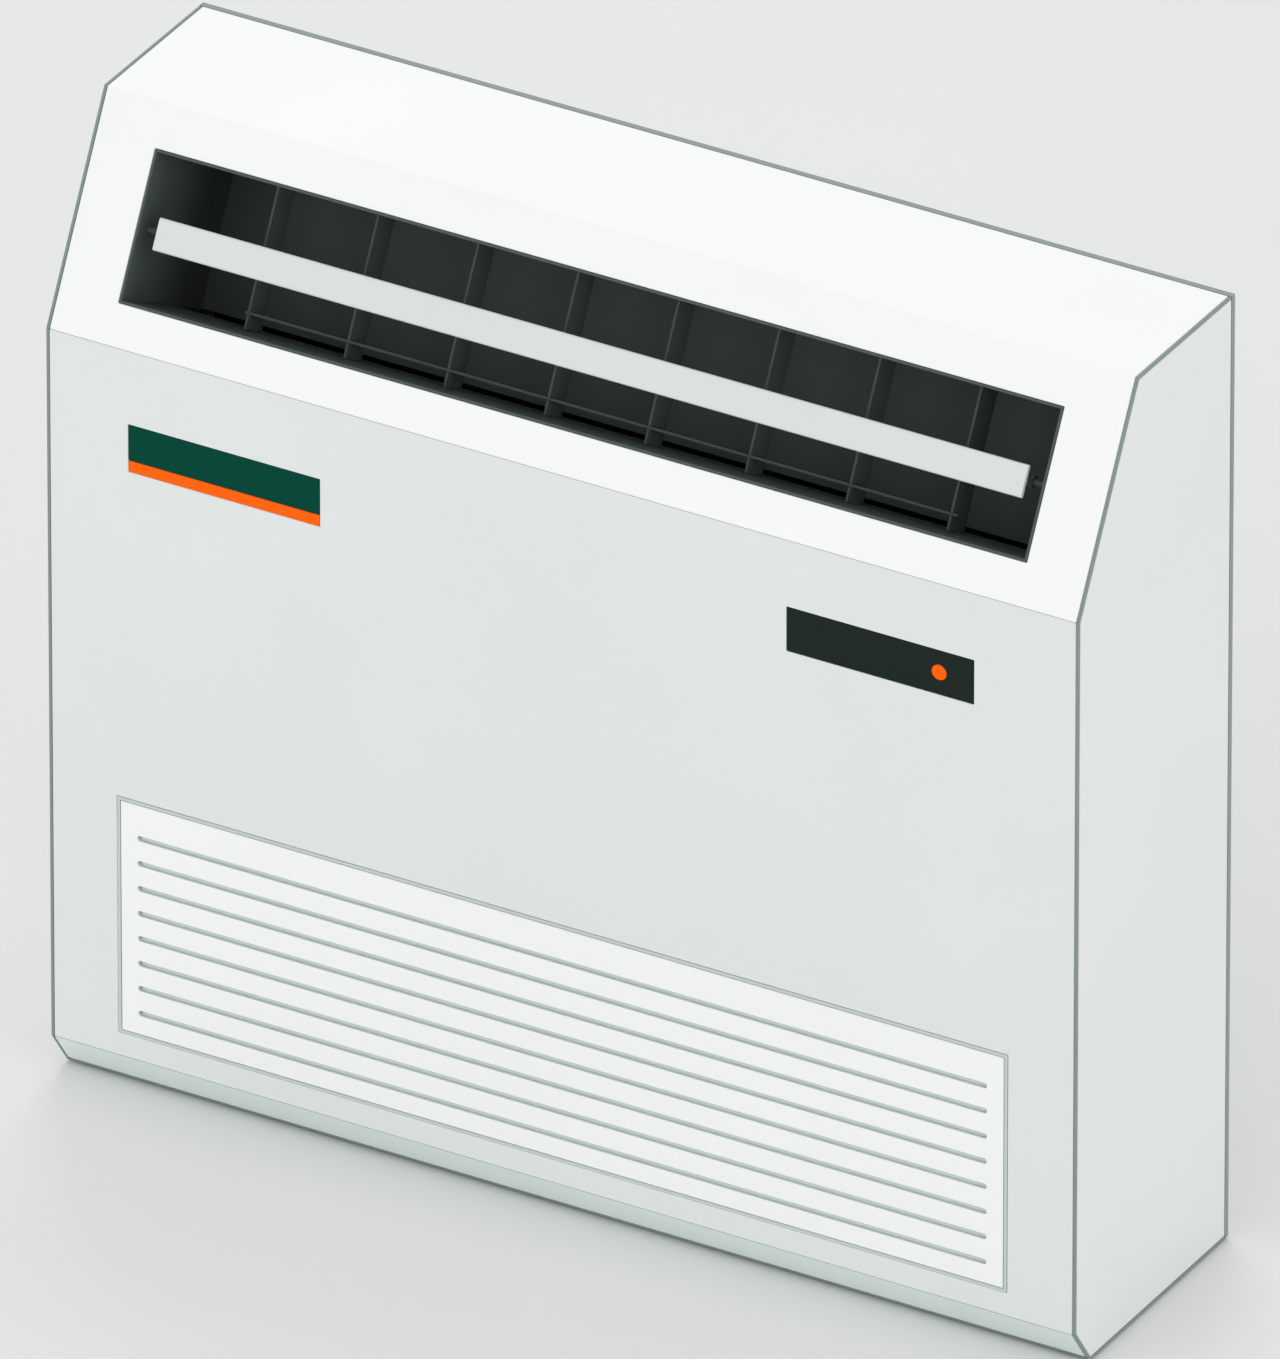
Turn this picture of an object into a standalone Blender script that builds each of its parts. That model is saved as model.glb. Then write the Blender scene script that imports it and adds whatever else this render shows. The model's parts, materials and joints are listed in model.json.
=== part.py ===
"""Floor console air conditioner: the casing, its air path, its coil and its fans, piece by piece.

Metres, +Z up. The front faces -Y and the origin is the centre of the footprint on the floor.
"""
import math

import bmesh
import bpy
from mathutils import Matrix, Vector

# Overall casing, with its section read from the back plane
WIDTH = 0.720
DEPTH = 0.189
HEIGHT = 0.660
SLOPE_RUN = 0.071
SLOPE_RISE = 0.135
CHAMFER_DEPTH = 0.0183
CHAMFER_HEIGHT = 0.0276

# Walls and clearances
GAP = 0.0003
SHELL_WALL = 0.0025
SIDE_WALL = 0.0020
EDGE_FACE = 0.0016
REAR_SHEET = 0.0012
REAR_RIM = 0.0040
BASE_WALL = 0.0027
RIM_WALL = 0.0018
RIM_DEPTH = 0.0100
PANEL_RETURN = 0.0080
FOOT_HEIGHT = 0.0015
FOOT_RADIUS = 0.0130
FOOT_INSET = 0.0400

# Outlet in the slope, measured up the slope from its foot
OUTLET_MARGIN = 0.0435
OUTLET_FOOT = 0.0269
OUTLET_HEIGHT = 0.0967
DUCT_DEPTH = 0.110
DUCT_INTAKE = 0.048
DUCT_WALL = 0.0015
DUCT_FLANGE = 0.006

# Flap across the outlet
FLAP_MARGIN = 0.0140
FLAP_CHORD = 0.0206
FLAP_THICKNESS = 0.0030
FLAP_RISE = 0.0467
FLAP_AXIS_DEPTH = 0.0140
FLAP_ARM = 0.0025
FLAP_BOSS_RADIUS = 0.0040
FLAP_PIN_RADIUS = 0.0020
FLAP_MOTOR_RADIUS = 0.0094
FLAP_MOTOR_LENGTH = 0.0180
FLAP_EAR = 0.0150

# Guide vanes behind the flap
VANE_COUNT = 8
VANE_MARGIN = 0.0715
VANE_SWING = 30.0
VANE_CHORD_FRONT = 0.014
VANE_CHORD_REAR = 0.008
VANE_AXIS_DEPTH = 0.046
VANE_THICKNESS = 0.0015
VANE_PIN_RADIUS = 0.0015
LINK_ARM = 0.0100
LINK_HEIGHT = 0.0100
LINK_THICKNESS = 0.0015
LINK_PEG_RADIUS = 0.0008
LINK_SLACK = 0.0004
LINK_RIM = 0.0011

# Front openings, measured in from the sides and down from the slope's foot
BADGE_INSET = 0.1247
BADGE_DROP = 0.0675
BADGE_WIDTH = 0.1342
BADGE_PLATE_HEIGHT = 0.0246
BADGE_STRIPE_HEIGHT = 0.0077
BADGE_RECESS = 0.0012
WINDOW_INSET = 0.1374
WINDOW_DROP = 0.0614
WINDOW_WIDTH = 0.1293
WINDOW_HEIGHT = 0.0302
WINDOW_THICKNESS = 0.0020
BUTTON_INSET = 0.0966
BUTTON_RADIUS = 0.0053
BUTTON_LENGTH = 0.0100
BUTTON_TRAVEL = 0.0012
HOUSING_DEPTH = 0.0180
HOUSING_WALL = 0.0015
BOARD_THICKNESS = 0.0016

# Intake grille
GRILLE_MARGIN = 0.048
GRILLE_FOOT = 0.0442
GRILLE_HEIGHT = 0.1666
GRILLE_EDGE = 0.0020
GRILLE_CLEAR = 0.0006
GRILLE_THICKNESS = 0.0025
GRILLE_FRAME_DEPTH = 0.0070
SLOT_COUNT = 8
SLOT_MARGIN = 0.014
SLOT_HEIGHT = 0.0038
SLOT_PITCH = 0.01765
SLOT_FOOT = 0.0616
HINGE_RISE = 0.0030
HINGE_PIN_RADIUS = 0.0008
HINGE_PIN_LENGTH = 0.0014

# Air filters and the channel frame that holds them
FILTER_THICKNESS = 0.0030
FILTER_BAR = 0.0060
FILTER_NET = 0.0006
FILTER_COLUMNS = 3
FILTER_ROWS = 2
FILTER_LIFT = 0.0060
CHANNEL_WALL = 0.0015
CHANNEL_LIP = 0.0050
CHANNEL_SLACK = 0.0004

# Fan section
SHAFT_Z = 0.1080
SHAFT_RADIUS = 0.0050
WHEEL_CLEAR = 0.0080
WHEEL_LENGTH = 0.1500
WHEEL_CENTRE = 0.1500
WHEEL_DISC = 0.0030
WHEEL_RING = 0.0030
WHEEL_HUB_RADIUS = 0.0120
WHEEL_HUB_LENGTH = 0.0200
BLADE_COUNT = 24
BLADE_CHORD = 0.0110
BLADE_THICKNESS = 0.0012
BLADE_LEAN = 35.0
BLADE_SINK = 0.0010
SCROLL_LENGTH = 0.1640
SCROLL_GROWTH = 0.0160
SCROLL_WALL = 0.0016
SCROLL_FRONT_ROOM = 0.0386
SCROLL_BACK_ROOM = 0.0089
SCROLL_STEPS = 18
INLET_STEP = 0.0080
TONGUE_ANGLE = 150.0
DECK_Z = 0.2200
DECK_SHEET = 0.0015
MOTOR_STEP = 0.0080
MOTOR_LENGTH = 0.0720
MOTOR_BOSS_RADIUS = 0.0150
MOTOR_BOSS_LENGTH = 0.0080
CRADLE_WALL = 0.0020
CRADLE_LENGTH = 0.0300

# Coil, drain pan and pipework
COIL_MARGIN = 0.110
COIL_THICKNESS = 0.0440
COIL_HEAD = 0.325
COIL_FOOT_Y = -0.0400
COIL_CLEAR = 0.0006
COIL_TILT = 24.0
FIN_COUNT = 60
FIN_GROOVE = 0.0060
TUBE_RADIUS = 0.0040
TUBE_PASSES = 8
COIL_PLATE = 0.0015
PAN_WALL = 0.0020
PAN_HEIGHT = 0.0220
PAN_DEPTH = 0.0620
UNION_RADIUS = 0.0110
UNION_LENGTH = 0.0300

# Control box
BOX_INSET = 0.0600
BOX_SPAN_X = 0.0420
BOX_SPAN_Y = 0.1100
BOX_SPAN_Z = 0.1700
BOX_Y = 0.0200
BOX_SHEET = 0.0012
CAPACITOR_RADIUS = 0.0140
CAPACITOR_LENGTH = 0.0400
LEAD_RADIUS = 0.0030

# Details of the display, the openings behind and the foam
GUIDE_WALL = 0.0012
GUIDE_LENGTH = 0.0050
SWITCH_SIZE = 0.0060
HANG_INSET = 0.120
HANG_DROP = 0.060
HANG_SLOT = 0.030
HANG_HEIGHT = 0.008
PIPE_HOLE_INSET = 0.060
PIPE_HOLE_Z = 0.160
PIPE_HOLE_RADIUS = 0.030
CABLE_INSET = 0.060
CABLE_Z = 0.180
CABLE_GLAND_RADIUS = 0.0080
CABLE_BORE_RADIUS = 0.0040
CABLE_GLAND_LENGTH = 0.0120
DRAIN_X = -0.0300
DRAIN_RADIUS = 0.0080
DRAIN_LENGTH = 0.0200
BEND_LEAD = 0.0040
BEND_STEPS = 6
TUBE_END_INSET = 0.060
FOAM = 0.0080
FOAM_DROP = 0.220
FOAM_HEAD = 0.075
BOARD_SHARE = 0.40
BOARD_PART_WIDTH = 0.0200
BOARD_PART_HEIGHT = 0.0120
BOARD_PART_PLACES = ((0.30, 0.35), (0.62, 0.30), (0.45, 0.72))
TERMINAL_DEPTH = 0.0160
TERMINAL_LENGTH = 0.0500
TERMINAL_HEIGHT = 0.0200
CAPACITOR_RISE = 0.0120
LEAD_X = 0.0220
LEAD_INSET = 0.0234
LEAD_BEND = 0.0120

# Measures that follow from those above
HALF_WIDTH = WIDTH / 2
WIDE_GAP = 3 * GAP
FRONT = -DEPTH / 2
BACK = DEPTH / 2
TOP_EDGE_Y = FRONT + SLOPE_RUN
SLOPE_FOOT = HEIGHT - SLOPE_RISE
SHELL_END = HALF_WIDTH - SIDE_WALL - GAP
RIM_FRONT_Y = BACK - REAR_RIM
REAR_CUT = 3 * REAR_SHEET
SHELL_BACK_Y = RIM_FRONT_Y - GAP
SLOPE_ANGLE = math.atan2(SLOPE_RISE, SLOPE_RUN)
OUTLET_WIDTH = WIDTH - 2 * OUTLET_MARGIN
FLAP_WIDTH = OUTLET_WIDTH - 2 * FLAP_MARGIN
FLAP_CENTRE = OUTLET_FOOT + FLAP_RISE
VANE_PITCH = (OUTLET_WIDTH - 2 * VANE_MARGIN) / (VANE_COUNT - 1)
BADGE_X = BADGE_INSET - HALF_WIDTH
BADGE_Z = SLOPE_FOOT - BADGE_DROP
WINDOW_X = HALF_WIDTH - WINDOW_INSET
WINDOW_Z = SLOPE_FOOT - WINDOW_DROP
BUTTON_X = HALF_WIDTH - BUTTON_INSET
GRILLE_WIDTH = WIDTH - 2 * GRILLE_MARGIN
SLOT_LENGTH = GRILLE_WIDTH - 2 * SLOT_MARGIN
PIPE_HOLE_X = PIPE_HOLE_INSET - HALF_WIDTH
CABLE_X = HALF_WIDTH - CABLE_INSET
HANG_X = HALF_WIDTH - HANG_INSET
TONGUE_SHARE = (180.0 - TONGUE_ANGLE) / (360.0 - TONGUE_ANGLE)
SCROLL_SPAN = DEPTH - SCROLL_FRONT_ROOM - SCROLL_BACK_ROOM - 2 * SCROLL_WALL
SCROLL_START = (SCROLL_SPAN - SCROLL_GROWTH * (1 + TONGUE_SHARE)) / 2
SCROLL_END = SCROLL_START + SCROLL_GROWTH
SHAFT_Y = BACK - SCROLL_BACK_ROOM - SCROLL_WALL - SCROLL_END
WHEEL_RADIUS = SCROLL_START - WHEEL_CLEAR
SCROLL_INLET = WHEEL_RADIUS - INLET_STEP
MOTOR_RADIUS = WHEEL_RADIUS - MOTOR_STEP
COIL_WIDTH = WIDTH - 2 * COIL_MARGIN
COIL_HEIGHT = SLOPE_FOOT - COIL_HEAD
COIL_BACK_Y = (COIL_FOOT_Y + COIL_HEIGHT * math.sin(math.radians(COIL_TILT))
               + COIL_THICKNESS / 2 * math.cos(math.radians(COIL_TILT)))
LEAD_Y = COIL_BACK_Y - LEAD_INSET
BOX_X = HALF_WIDTH - BOX_INSET
TUBE_END_X = HALF_WIDTH - TUBE_END_INSET
FOAM_FOOT = HEIGHT - FOAM_DROP
FOAM_TOP = HEIGHT - FOAM_HEAD
COIL_DROP = COIL_THICKNESS / 2 * math.sin(math.radians(COIL_TILT))
COIL_FOOT_Z = DECK_Z + DECK_SHEET + GAP + PAN_HEIGHT + COIL_CLEAR + COIL_DROP
ROUND_SIDES = 24
SMALL_SIDES = 12

PARTS = None
CUTTERS = None
MATERIALS = {}
FINISHES = {
    "shell_white": ((0.93, 0.94, 0.94), 0.45, 0.0),
    "front_grey": ((0.74, 0.77, 0.76), 0.45, 0.0),
    "edge_grey": ((0.21, 0.27, 0.25), 0.60, 0.0),
    "kick_grey": ((0.54, 0.60, 0.57), 0.50, 0.0),
    "trim_grey": ((0.45, 0.52, 0.50), 0.50, 0.0),
    "sheet_grey": ((0.24, 0.29, 0.28), 0.50, 0.6),
    "duct_dark": ((0.025, 0.032, 0.030), 0.70, 0.0),
    "flap_grey": ((0.72, 0.76, 0.75), 0.45, 0.0),
    "badge_green": ((0.001, 0.061, 0.041), 0.40, 0.0),
    "badge_orange": ((1.0, 0.13, 0.001), 0.40, 0.0),
    "window_dark": ((0.013, 0.023, 0.019), 0.20, 0.0),
    "grille_white": ((0.90, 0.92, 0.91), 0.45, 0.0),
    "filter_grey": ((0.40, 0.43, 0.42), 0.80, 0.0),
    "fan_plastic": ((0.10, 0.11, 0.12), 0.60, 0.0),
    "steel": ((0.55, 0.56, 0.57), 0.35, 1.0),
    "aluminium": ((0.75, 0.76, 0.77), 0.35, 1.0),
    "copper": ((0.72, 0.33, 0.18), 0.30, 1.0),
    "brass": ((0.70, 0.52, 0.22), 0.30, 1.0),
    "board_green": ((0.02, 0.12, 0.05), 0.50, 0.0),
    "rubber": ((0.03, 0.03, 0.03), 0.90, 0.0),
    "foam": ((0.05, 0.05, 0.05), 0.95, 0.0),
}


# Scene set-up and materials

def clear_scene():
    """Remove what the scene holds and make the two collections."""
    global PARTS, CUTTERS
    for leftover in list(bpy.data.objects):
        bpy.data.objects.remove(leftover, do_unlink=True)
    PARTS = bpy.data.collections.new("floor_console_air_conditioner")
    CUTTERS = bpy.data.collections.new("cutters")
    bpy.context.scene.collection.children.link(PARTS)
    bpy.context.scene.collection.children.link(CUTTERS)


def finish(name):
    """The Principled material of a named finish."""
    if name not in MATERIALS:
        colour, roughness, metallic = FINISHES[name]
        material = bpy.data.materials.new(name)
        material.use_nodes = True
        shader = material.node_tree.nodes["Principled BSDF"]
        shader.inputs["Base Color"].default_value = (*colour, 1.0)
        shader.inputs["Roughness"].default_value = roughness
        shader.inputs["Metallic"].default_value = metallic
        MATERIALS[name] = material
    return MATERIALS[name]


# Coordinate frames: each turns a flat outline's own x, y and thickness into the world

def frame_facing_x(x):
    """Outline drawn in world Y and Z, thickness along +X from x."""
    return Matrix(((0, 0, 1, x), (1, 0, 0, 0), (0, 1, 0, 0), (0, 0, 0, 1)))


def frame_facing_front(y):
    """Outline drawn in world X and Z, thickness along -Y from y."""
    return Matrix(((1, 0, 0, 0), (0, 0, -1, y), (0, 1, 0, 0), (0, 0, 0, 1)))


def frame_facing_up(z):
    """Outline drawn in world X and Y, thickness along +Z from z."""
    return Matrix.Translation((0, 0, z))


def slope_frame():
    """X stays X, y runs up the slope from its foot and z stands out of the slope."""
    foot = Matrix.Translation((0, FRONT, SLOPE_FOOT))
    return foot @ Matrix.Rotation(SLOPE_ANGLE, 4, "X")


def coil_frame():
    """X stays X, y runs up the tilted coil and z is its thickness towards the front."""
    foot = Matrix.Translation((0, COIL_FOOT_Y, COIL_FOOT_Z))
    return foot @ Matrix.Rotation(math.radians(90 - COIL_TILT), 4, "X")


# Outlines

def offset_path(points, inset):
    """An open or closed path's points moved to its left by inset, corners mitred."""
    moved = []
    count = len(points)
    for index, point in enumerate(points):
        here = Vector(point)
        before = Vector(points[(index - 1) % count])
        after = Vector(points[(index + 1) % count])
        first = (here - before).normalized()
        second = (after - here).normalized()
        normal_a = Vector((-first.y, first.x))
        normal_b = Vector((-second.y, second.x))
        bisector = (normal_a + normal_b).normalized()
        moved.append(here + bisector * (inset / bisector.dot(normal_a)))
    return [tuple(point) for point in moved]


def casing_section(inset=0.0, back=BACK):
    """The casing's section in Y and Z, anticlockwise seen from +X, drawn in by inset."""
    outline = [
        (FRONT + CHAMFER_DEPTH, FOOT_HEIGHT),
        (BACK, FOOT_HEIGHT),
        (BACK, HEIGHT),
        (TOP_EDGE_Y, HEIGHT),
        (FRONT, SLOPE_FOOT),
        (FRONT, CHAMFER_HEIGHT),
    ]
    inner = offset_path(outline, inset)
    return [(min(y, back), z) for y, z in inner]


def rectangle(low, high):
    """A rectangle's four corners."""
    return [low, (high[0], low[1]), high, (low[0], high[1])]


def centred_rectangle(x, y, width, height):
    """A rectangle about its centre."""
    return rectangle((x - width / 2, y - height / 2), (x + width / 2, y + height / 2))


def circle(x, y, radius, sides=ROUND_SIDES):
    """A circle's points."""
    angles = [math.tau * step / sides for step in range(sides)]
    return [(x + radius * math.cos(a), y + radius * math.sin(a)) for a in angles]


def stadium(x, y, length, height, steps=6):
    """A slot with round ends, lying along x."""
    radius = height / 2
    reach = length / 2 - radius
    points = []
    for side, start in ((1, -90), (-1, 90)):
        for step in range(steps + 1):
            angle = math.radians(start + 180 * step / steps)
            points.append((x + side * reach + radius * math.cos(angle),
                           y + radius * math.sin(angle)))
    return points


# Solids

def adopt(name, mesh, material, matrix=None, cutter=False):
    """An object of this mesh in the parts or the cutters collection."""
    thing = bpy.data.objects.new(name, mesh)
    if matrix is not None:
        thing.matrix_world = matrix
    mesh.materials.clear()
    mesh.materials.append(finish(material))
    (CUTTERS if cutter else PARTS).objects.link(thing)
    if cutter:
        thing.hide_render = True
        thing.display_type = "WIRE"
    return thing


def curve_mesh(curve, name):
    """The mesh of a curve, with its caps welded to its walls."""
    holder = bpy.data.objects.new(name + "_curve", curve)
    bpy.context.scene.collection.objects.link(holder)
    bpy.context.view_layer.update()
    evaluated = holder.evaluated_get(bpy.context.evaluated_depsgraph_get())
    mesh = bpy.data.meshes.new_from_object(evaluated)
    bpy.data.objects.remove(holder, do_unlink=True)
    bpy.data.curves.remove(curve)
    working = bmesh.new()
    working.from_mesh(mesh)
    bmesh.ops.remove_doubles(working, verts=working.verts, dist=0.000002)
    bmesh.ops.recalc_face_normals(working, faces=working.faces)
    working.to_mesh(mesh)
    working.free()
    return mesh


def slab(name, outline, thickness, matrix, material, holes=(), cutter=False):
    """A flat outline with any holes, extruded from the frame's plane by thickness."""
    curve = bpy.data.curves.new(name, "CURVE")
    curve.dimensions = "2D"
    curve.fill_mode = "BOTH"
    curve.extrude = thickness / 2
    for path in (outline, *holes):
        spline = curve.splines.new("POLY")
        spline.points.add(len(path) - 1)
        for point, (x, y) in zip(spline.points, path):
            point.co = (x, y, 0, 1)
        spline.use_cyclic_u = True
    mesh = curve_mesh(curve, name)
    mesh.transform(Matrix.Translation((0, 0, thickness / 2)))
    return adopt(name, mesh, material, matrix, cutter)


def prism(name, outline, thickness, matrix, material):
    """An outline of many teeth, made as one face and extruded by thickness."""
    working = bmesh.new()
    face = working.faces.new([working.verts.new((x, y, 0)) for x, y in outline])
    grown = bmesh.ops.extrude_face_region(working, geom=[face])
    moved = [item for item in grown["geom"] if isinstance(item, bmesh.types.BMVert)]
    bmesh.ops.translate(working, verts=moved, vec=(0, 0, thickness))
    bmesh.ops.recalc_face_normals(working, faces=working.faces)
    mesh = bpy.data.meshes.new(name)
    working.to_mesh(mesh)
    working.free()
    return adopt(name, mesh, material, matrix)


def block(name, low, high, material, matrix=None, cutter=False):
    """A box between two corners, with its origin at its centre."""
    working = bmesh.new()
    size = [b - a for a, b in zip(low, high)]
    centre = [(a + b) / 2 for a, b in zip(low, high)]
    bmesh.ops.create_cube(working, size=1.0, matrix=Matrix.Diagonal((*size, 1)))
    mesh = bpy.data.meshes.new(name)
    working.to_mesh(mesh)
    working.free()
    place = (matrix or Matrix.Identity(4)) @ Matrix.Translation(centre)
    return adopt(name, mesh, material, place, cutter)


def block_set(name, boxes, material):
    """A cutter of several separate boxes, each given by its low and high corners."""
    working = bmesh.new()
    for low, high in boxes:
        size = [b - a for a, b in zip(low, high)]
        centre = [(a + b) / 2 for a, b in zip(low, high)]
        place = Matrix.Translation(centre) @ Matrix.Diagonal((*size, 1))
        bmesh.ops.create_cube(working, size=1.0, matrix=place)
    mesh = bpy.data.meshes.new(name)
    working.to_mesh(mesh)
    working.free()
    return adopt(name, mesh, material, cutter=True)


def rod(name, start, end, radius, material, sides=ROUND_SIDES, cutter=False, matrix=None):
    """A cylinder between two points."""
    start = Vector(start)
    axis = Vector(end) - start
    working = bmesh.new()
    bmesh.ops.create_cone(working, cap_ends=True, segments=sides, radius1=radius,
                          radius2=radius, depth=axis.length)
    mesh = bpy.data.meshes.new(name)
    working.to_mesh(mesh)
    working.free()
    turn = Vector((0, 0, 1)).rotation_difference(axis.normalized()).to_matrix().to_4x4()
    place = Matrix.Translation(start + axis / 2) @ turn
    thing = adopt(name, mesh, material, (matrix or Matrix.Identity(4)) @ place, cutter)
    soften(thing)
    return thing


def turned(name, profile, matrix, material, sides=ROUND_SIDES, cutter=False):
    """A closed profile of (radius, height) points spun round the frame's Z."""
    curve_points = [(radius, 0, height) for radius, height in profile]
    mesh = bpy.data.meshes.new(name)
    working = bmesh.new()
    verts = [working.verts.new(point) for point in curve_points]
    for index, vert in enumerate(verts):
        after = verts[(index + 1) % len(verts)]
        if vert.co.x > 0 or after.co.x > 0:
            working.edges.new((vert, after))
    bmesh.ops.spin(working, geom=list(working.verts) + list(working.edges), cent=(0, 0, 0),
                   axis=(0, 0, 1), angle=math.tau, steps=sides, use_merge=True)
    bmesh.ops.remove_doubles(working, verts=working.verts, dist=0.000005)
    bmesh.ops.recalc_face_normals(working, faces=working.faces)
    working.to_mesh(mesh)
    working.free()
    thing = adopt(name, mesh, material, matrix, cutter)
    soften(thing)
    return thing


def tube(name, points, radius, material, resolution=2, cutter=False):
    """A round tube along a list of points, with closed ends."""
    curve = bpy.data.curves.new(name, "CURVE")
    curve.dimensions = "3D"
    curve.bevel_depth = radius
    curve.bevel_resolution = resolution
    curve.use_fill_caps = True
    spline = curve.splines.new("POLY")
    spline.points.add(len(points) - 1)
    for point, place in zip(spline.points, points):
        point.co = (*place, 1)
    thing = adopt(name, curve_mesh(curve, name), material, None, cutter)
    soften(thing)
    return thing


def soften(thing, angle=40.0):
    """Smooth shading on round faces, with crisp edges kept."""
    thing.data.shade_smooth()
    thing.data.set_sharp_from_angle(angle=math.radians(angle))


def boolean(target, tool, operation):
    """Leave a live Boolean on the target, with its tool kept among the cutters."""
    modifier = target.modifiers.new(tool.name, "BOOLEAN")
    modifier.operation = operation
    modifier.object = tool
    return target


def cut(target, *tools):
    """Take each tool out of the target."""
    for tool in tools:
        boolean(target, tool, "DIFFERENCE")
    return target


def join(target, *tools):
    """Add each tool to the target, as one body."""
    for tool in tools:
        boolean(target, tool, "UNION")
    return target


def pivot(name, place, things):
    """An empty on a joint's axis, with the pieces that turn or slide on it."""
    empty = bpy.data.objects.new(name, None)
    empty.location = place
    PARTS.objects.link(empty)
    inverse = Matrix.Translation(place).inverted()
    for thing in things:
        thing.parent = empty
        thing.matrix_parent_inverse = inverse
    return empty


# Casing

def chamfer_y(height):
    """Where the chamfer's outer face lies at a height."""
    share = (CHAMFER_HEIGHT - height) / (CHAMFER_HEIGHT - FOOT_HEIGHT)
    return FRONT + CHAMFER_DEPTH * share


def along_width(name, section, material, half=SHELL_END, matrix=None):
    """A section in Y and Z, extruded over the width between -half and half."""
    place = (matrix or Matrix.Identity(4)) @ frame_facing_x(-half)
    return slab(name, section, 2 * half, place, material)


def make_top_cover():
    """The flat top and the slope, one sheet, with the outlet opening."""
    inner = casing_section(SHELL_WALL, SHELL_BACK_Y)
    lip = SHELL_WALL / math.sin(SLOPE_ANGLE)
    section = [
        (SHELL_BACK_Y, HEIGHT),
        (TOP_EDGE_Y, HEIGHT),
        (FRONT, SLOPE_FOOT),
        (FRONT + lip, SLOPE_FOOT),
        inner[3],
        (SHELL_BACK_Y, HEIGHT - SHELL_WALL),
    ]
    cover = along_width("top_cover", section, "shell_white")
    reach = 2 * SHELL_WALL
    opening = block("outlet_cut",
                    (-OUTLET_WIDTH / 2, OUTLET_FOOT, -reach),
                    (OUTLET_WIDTH / 2, OUTLET_FOOT + OUTLET_HEIGHT, reach),
                    "shell_white", slope_frame(), cutter=True)
    cut(cover, opening)


def front_cutter(name, x, z, width, height, depth):
    """A block that cuts the front from outside it to a depth."""
    return block(name,
                 (x - width / 2, FRONT - SHELL_WALL, z - height / 2),
                 (x + width / 2, FRONT + depth, z + height / 2), "front_grey", cutter=True)


def badge_height():
    """Height of the two badge plates with the gap between them."""
    return BADGE_PLATE_HEIGHT + GAP + BADGE_STRIPE_HEIGHT


def make_front_panel():
    """The front sheet with its returns, its two openings and the badge recess."""
    top = SLOPE_FOOT - GAP
    foot = CHAMFER_HEIGHT + GAP
    deep = FRONT + PANEL_RETURN
    skin = FRONT + SHELL_WALL
    section = [
        (deep, top), (FRONT, top), (FRONT, foot), (deep, foot),
        (deep, foot + SHELL_WALL), (skin, foot + SHELL_WALL),
        (skin, top - SHELL_WALL), (deep, top - SHELL_WALL),
    ]
    panel = along_width("front_panel", section, "front_grey")
    through = 2 * SHELL_WALL
    cut(panel,
        front_cutter("grille_cut", 0, GRILLE_FOOT + GRILLE_HEIGHT / 2,
                     GRILLE_WIDTH + 2 * GAP, GRILLE_HEIGHT + 2 * GAP, through),
        front_cutter("window_cut", WINDOW_X, WINDOW_Z,
                     WINDOW_WIDTH + 2 * GAP, WINDOW_HEIGHT + 2 * GAP, through),
        front_cutter("badge_cut", BADGE_X, BADGE_Z,
                     BADGE_WIDTH + 2 * GAP, badge_height() + 2 * GAP, BADGE_RECESS))


def make_base():
    """The base pan, the chamfered strip in front of it and its four pads."""
    pan_top = FOOT_HEIGHT + BASE_WALL
    strip_foot = pan_top + GAP
    step = SHELL_WALL / math.sin(math.atan2(CHAMFER_HEIGHT - FOOT_HEIGHT, CHAMFER_DEPTH))
    ledge_back = chamfer_y(strip_foot) + step + GAP + BASE_WALL
    ledge_top = strip_foot + PANEL_RETURN
    ledge_front = chamfer_y(ledge_top) + step + GAP
    along_width("base_pan", [
        (chamfer_y(FOOT_HEIGHT), FOOT_HEIGHT),
        (SHELL_BACK_Y, FOOT_HEIGHT),
        (SHELL_BACK_Y, pan_top),
        (ledge_back, pan_top),
        (ledge_front + BASE_WALL, ledge_top),
        (ledge_front, ledge_top),
        (chamfer_y(pan_top) + step + GAP, pan_top),
        (chamfer_y(pan_top), pan_top),
    ], "edge_grey")
    along_width("kick_strip", [
        (chamfer_y(strip_foot), strip_foot),
        (chamfer_y(strip_foot) + step, strip_foot),
        (FRONT + step, CHAMFER_HEIGHT),
        (FRONT, CHAMFER_HEIGHT),
    ], "kick_grey")
    pad_front = chamfer_y(FOOT_HEIGHT) + FOOT_RADIUS + BASE_WALL
    pad_back = SHELL_BACK_Y - FOOT_RADIUS - BASE_WALL
    for side, x in (("left", FOOT_INSET - HALF_WIDTH), ("right", HALF_WIDTH - FOOT_INSET)):
        for end, y in (("front", pad_front), ("back", pad_back)):
            rod(f"foot_pad_{end}_{side}", (x, y, 0), (x, y, FOOT_HEIGHT - GAP), FOOT_RADIUS,
                "rubber")


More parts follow.
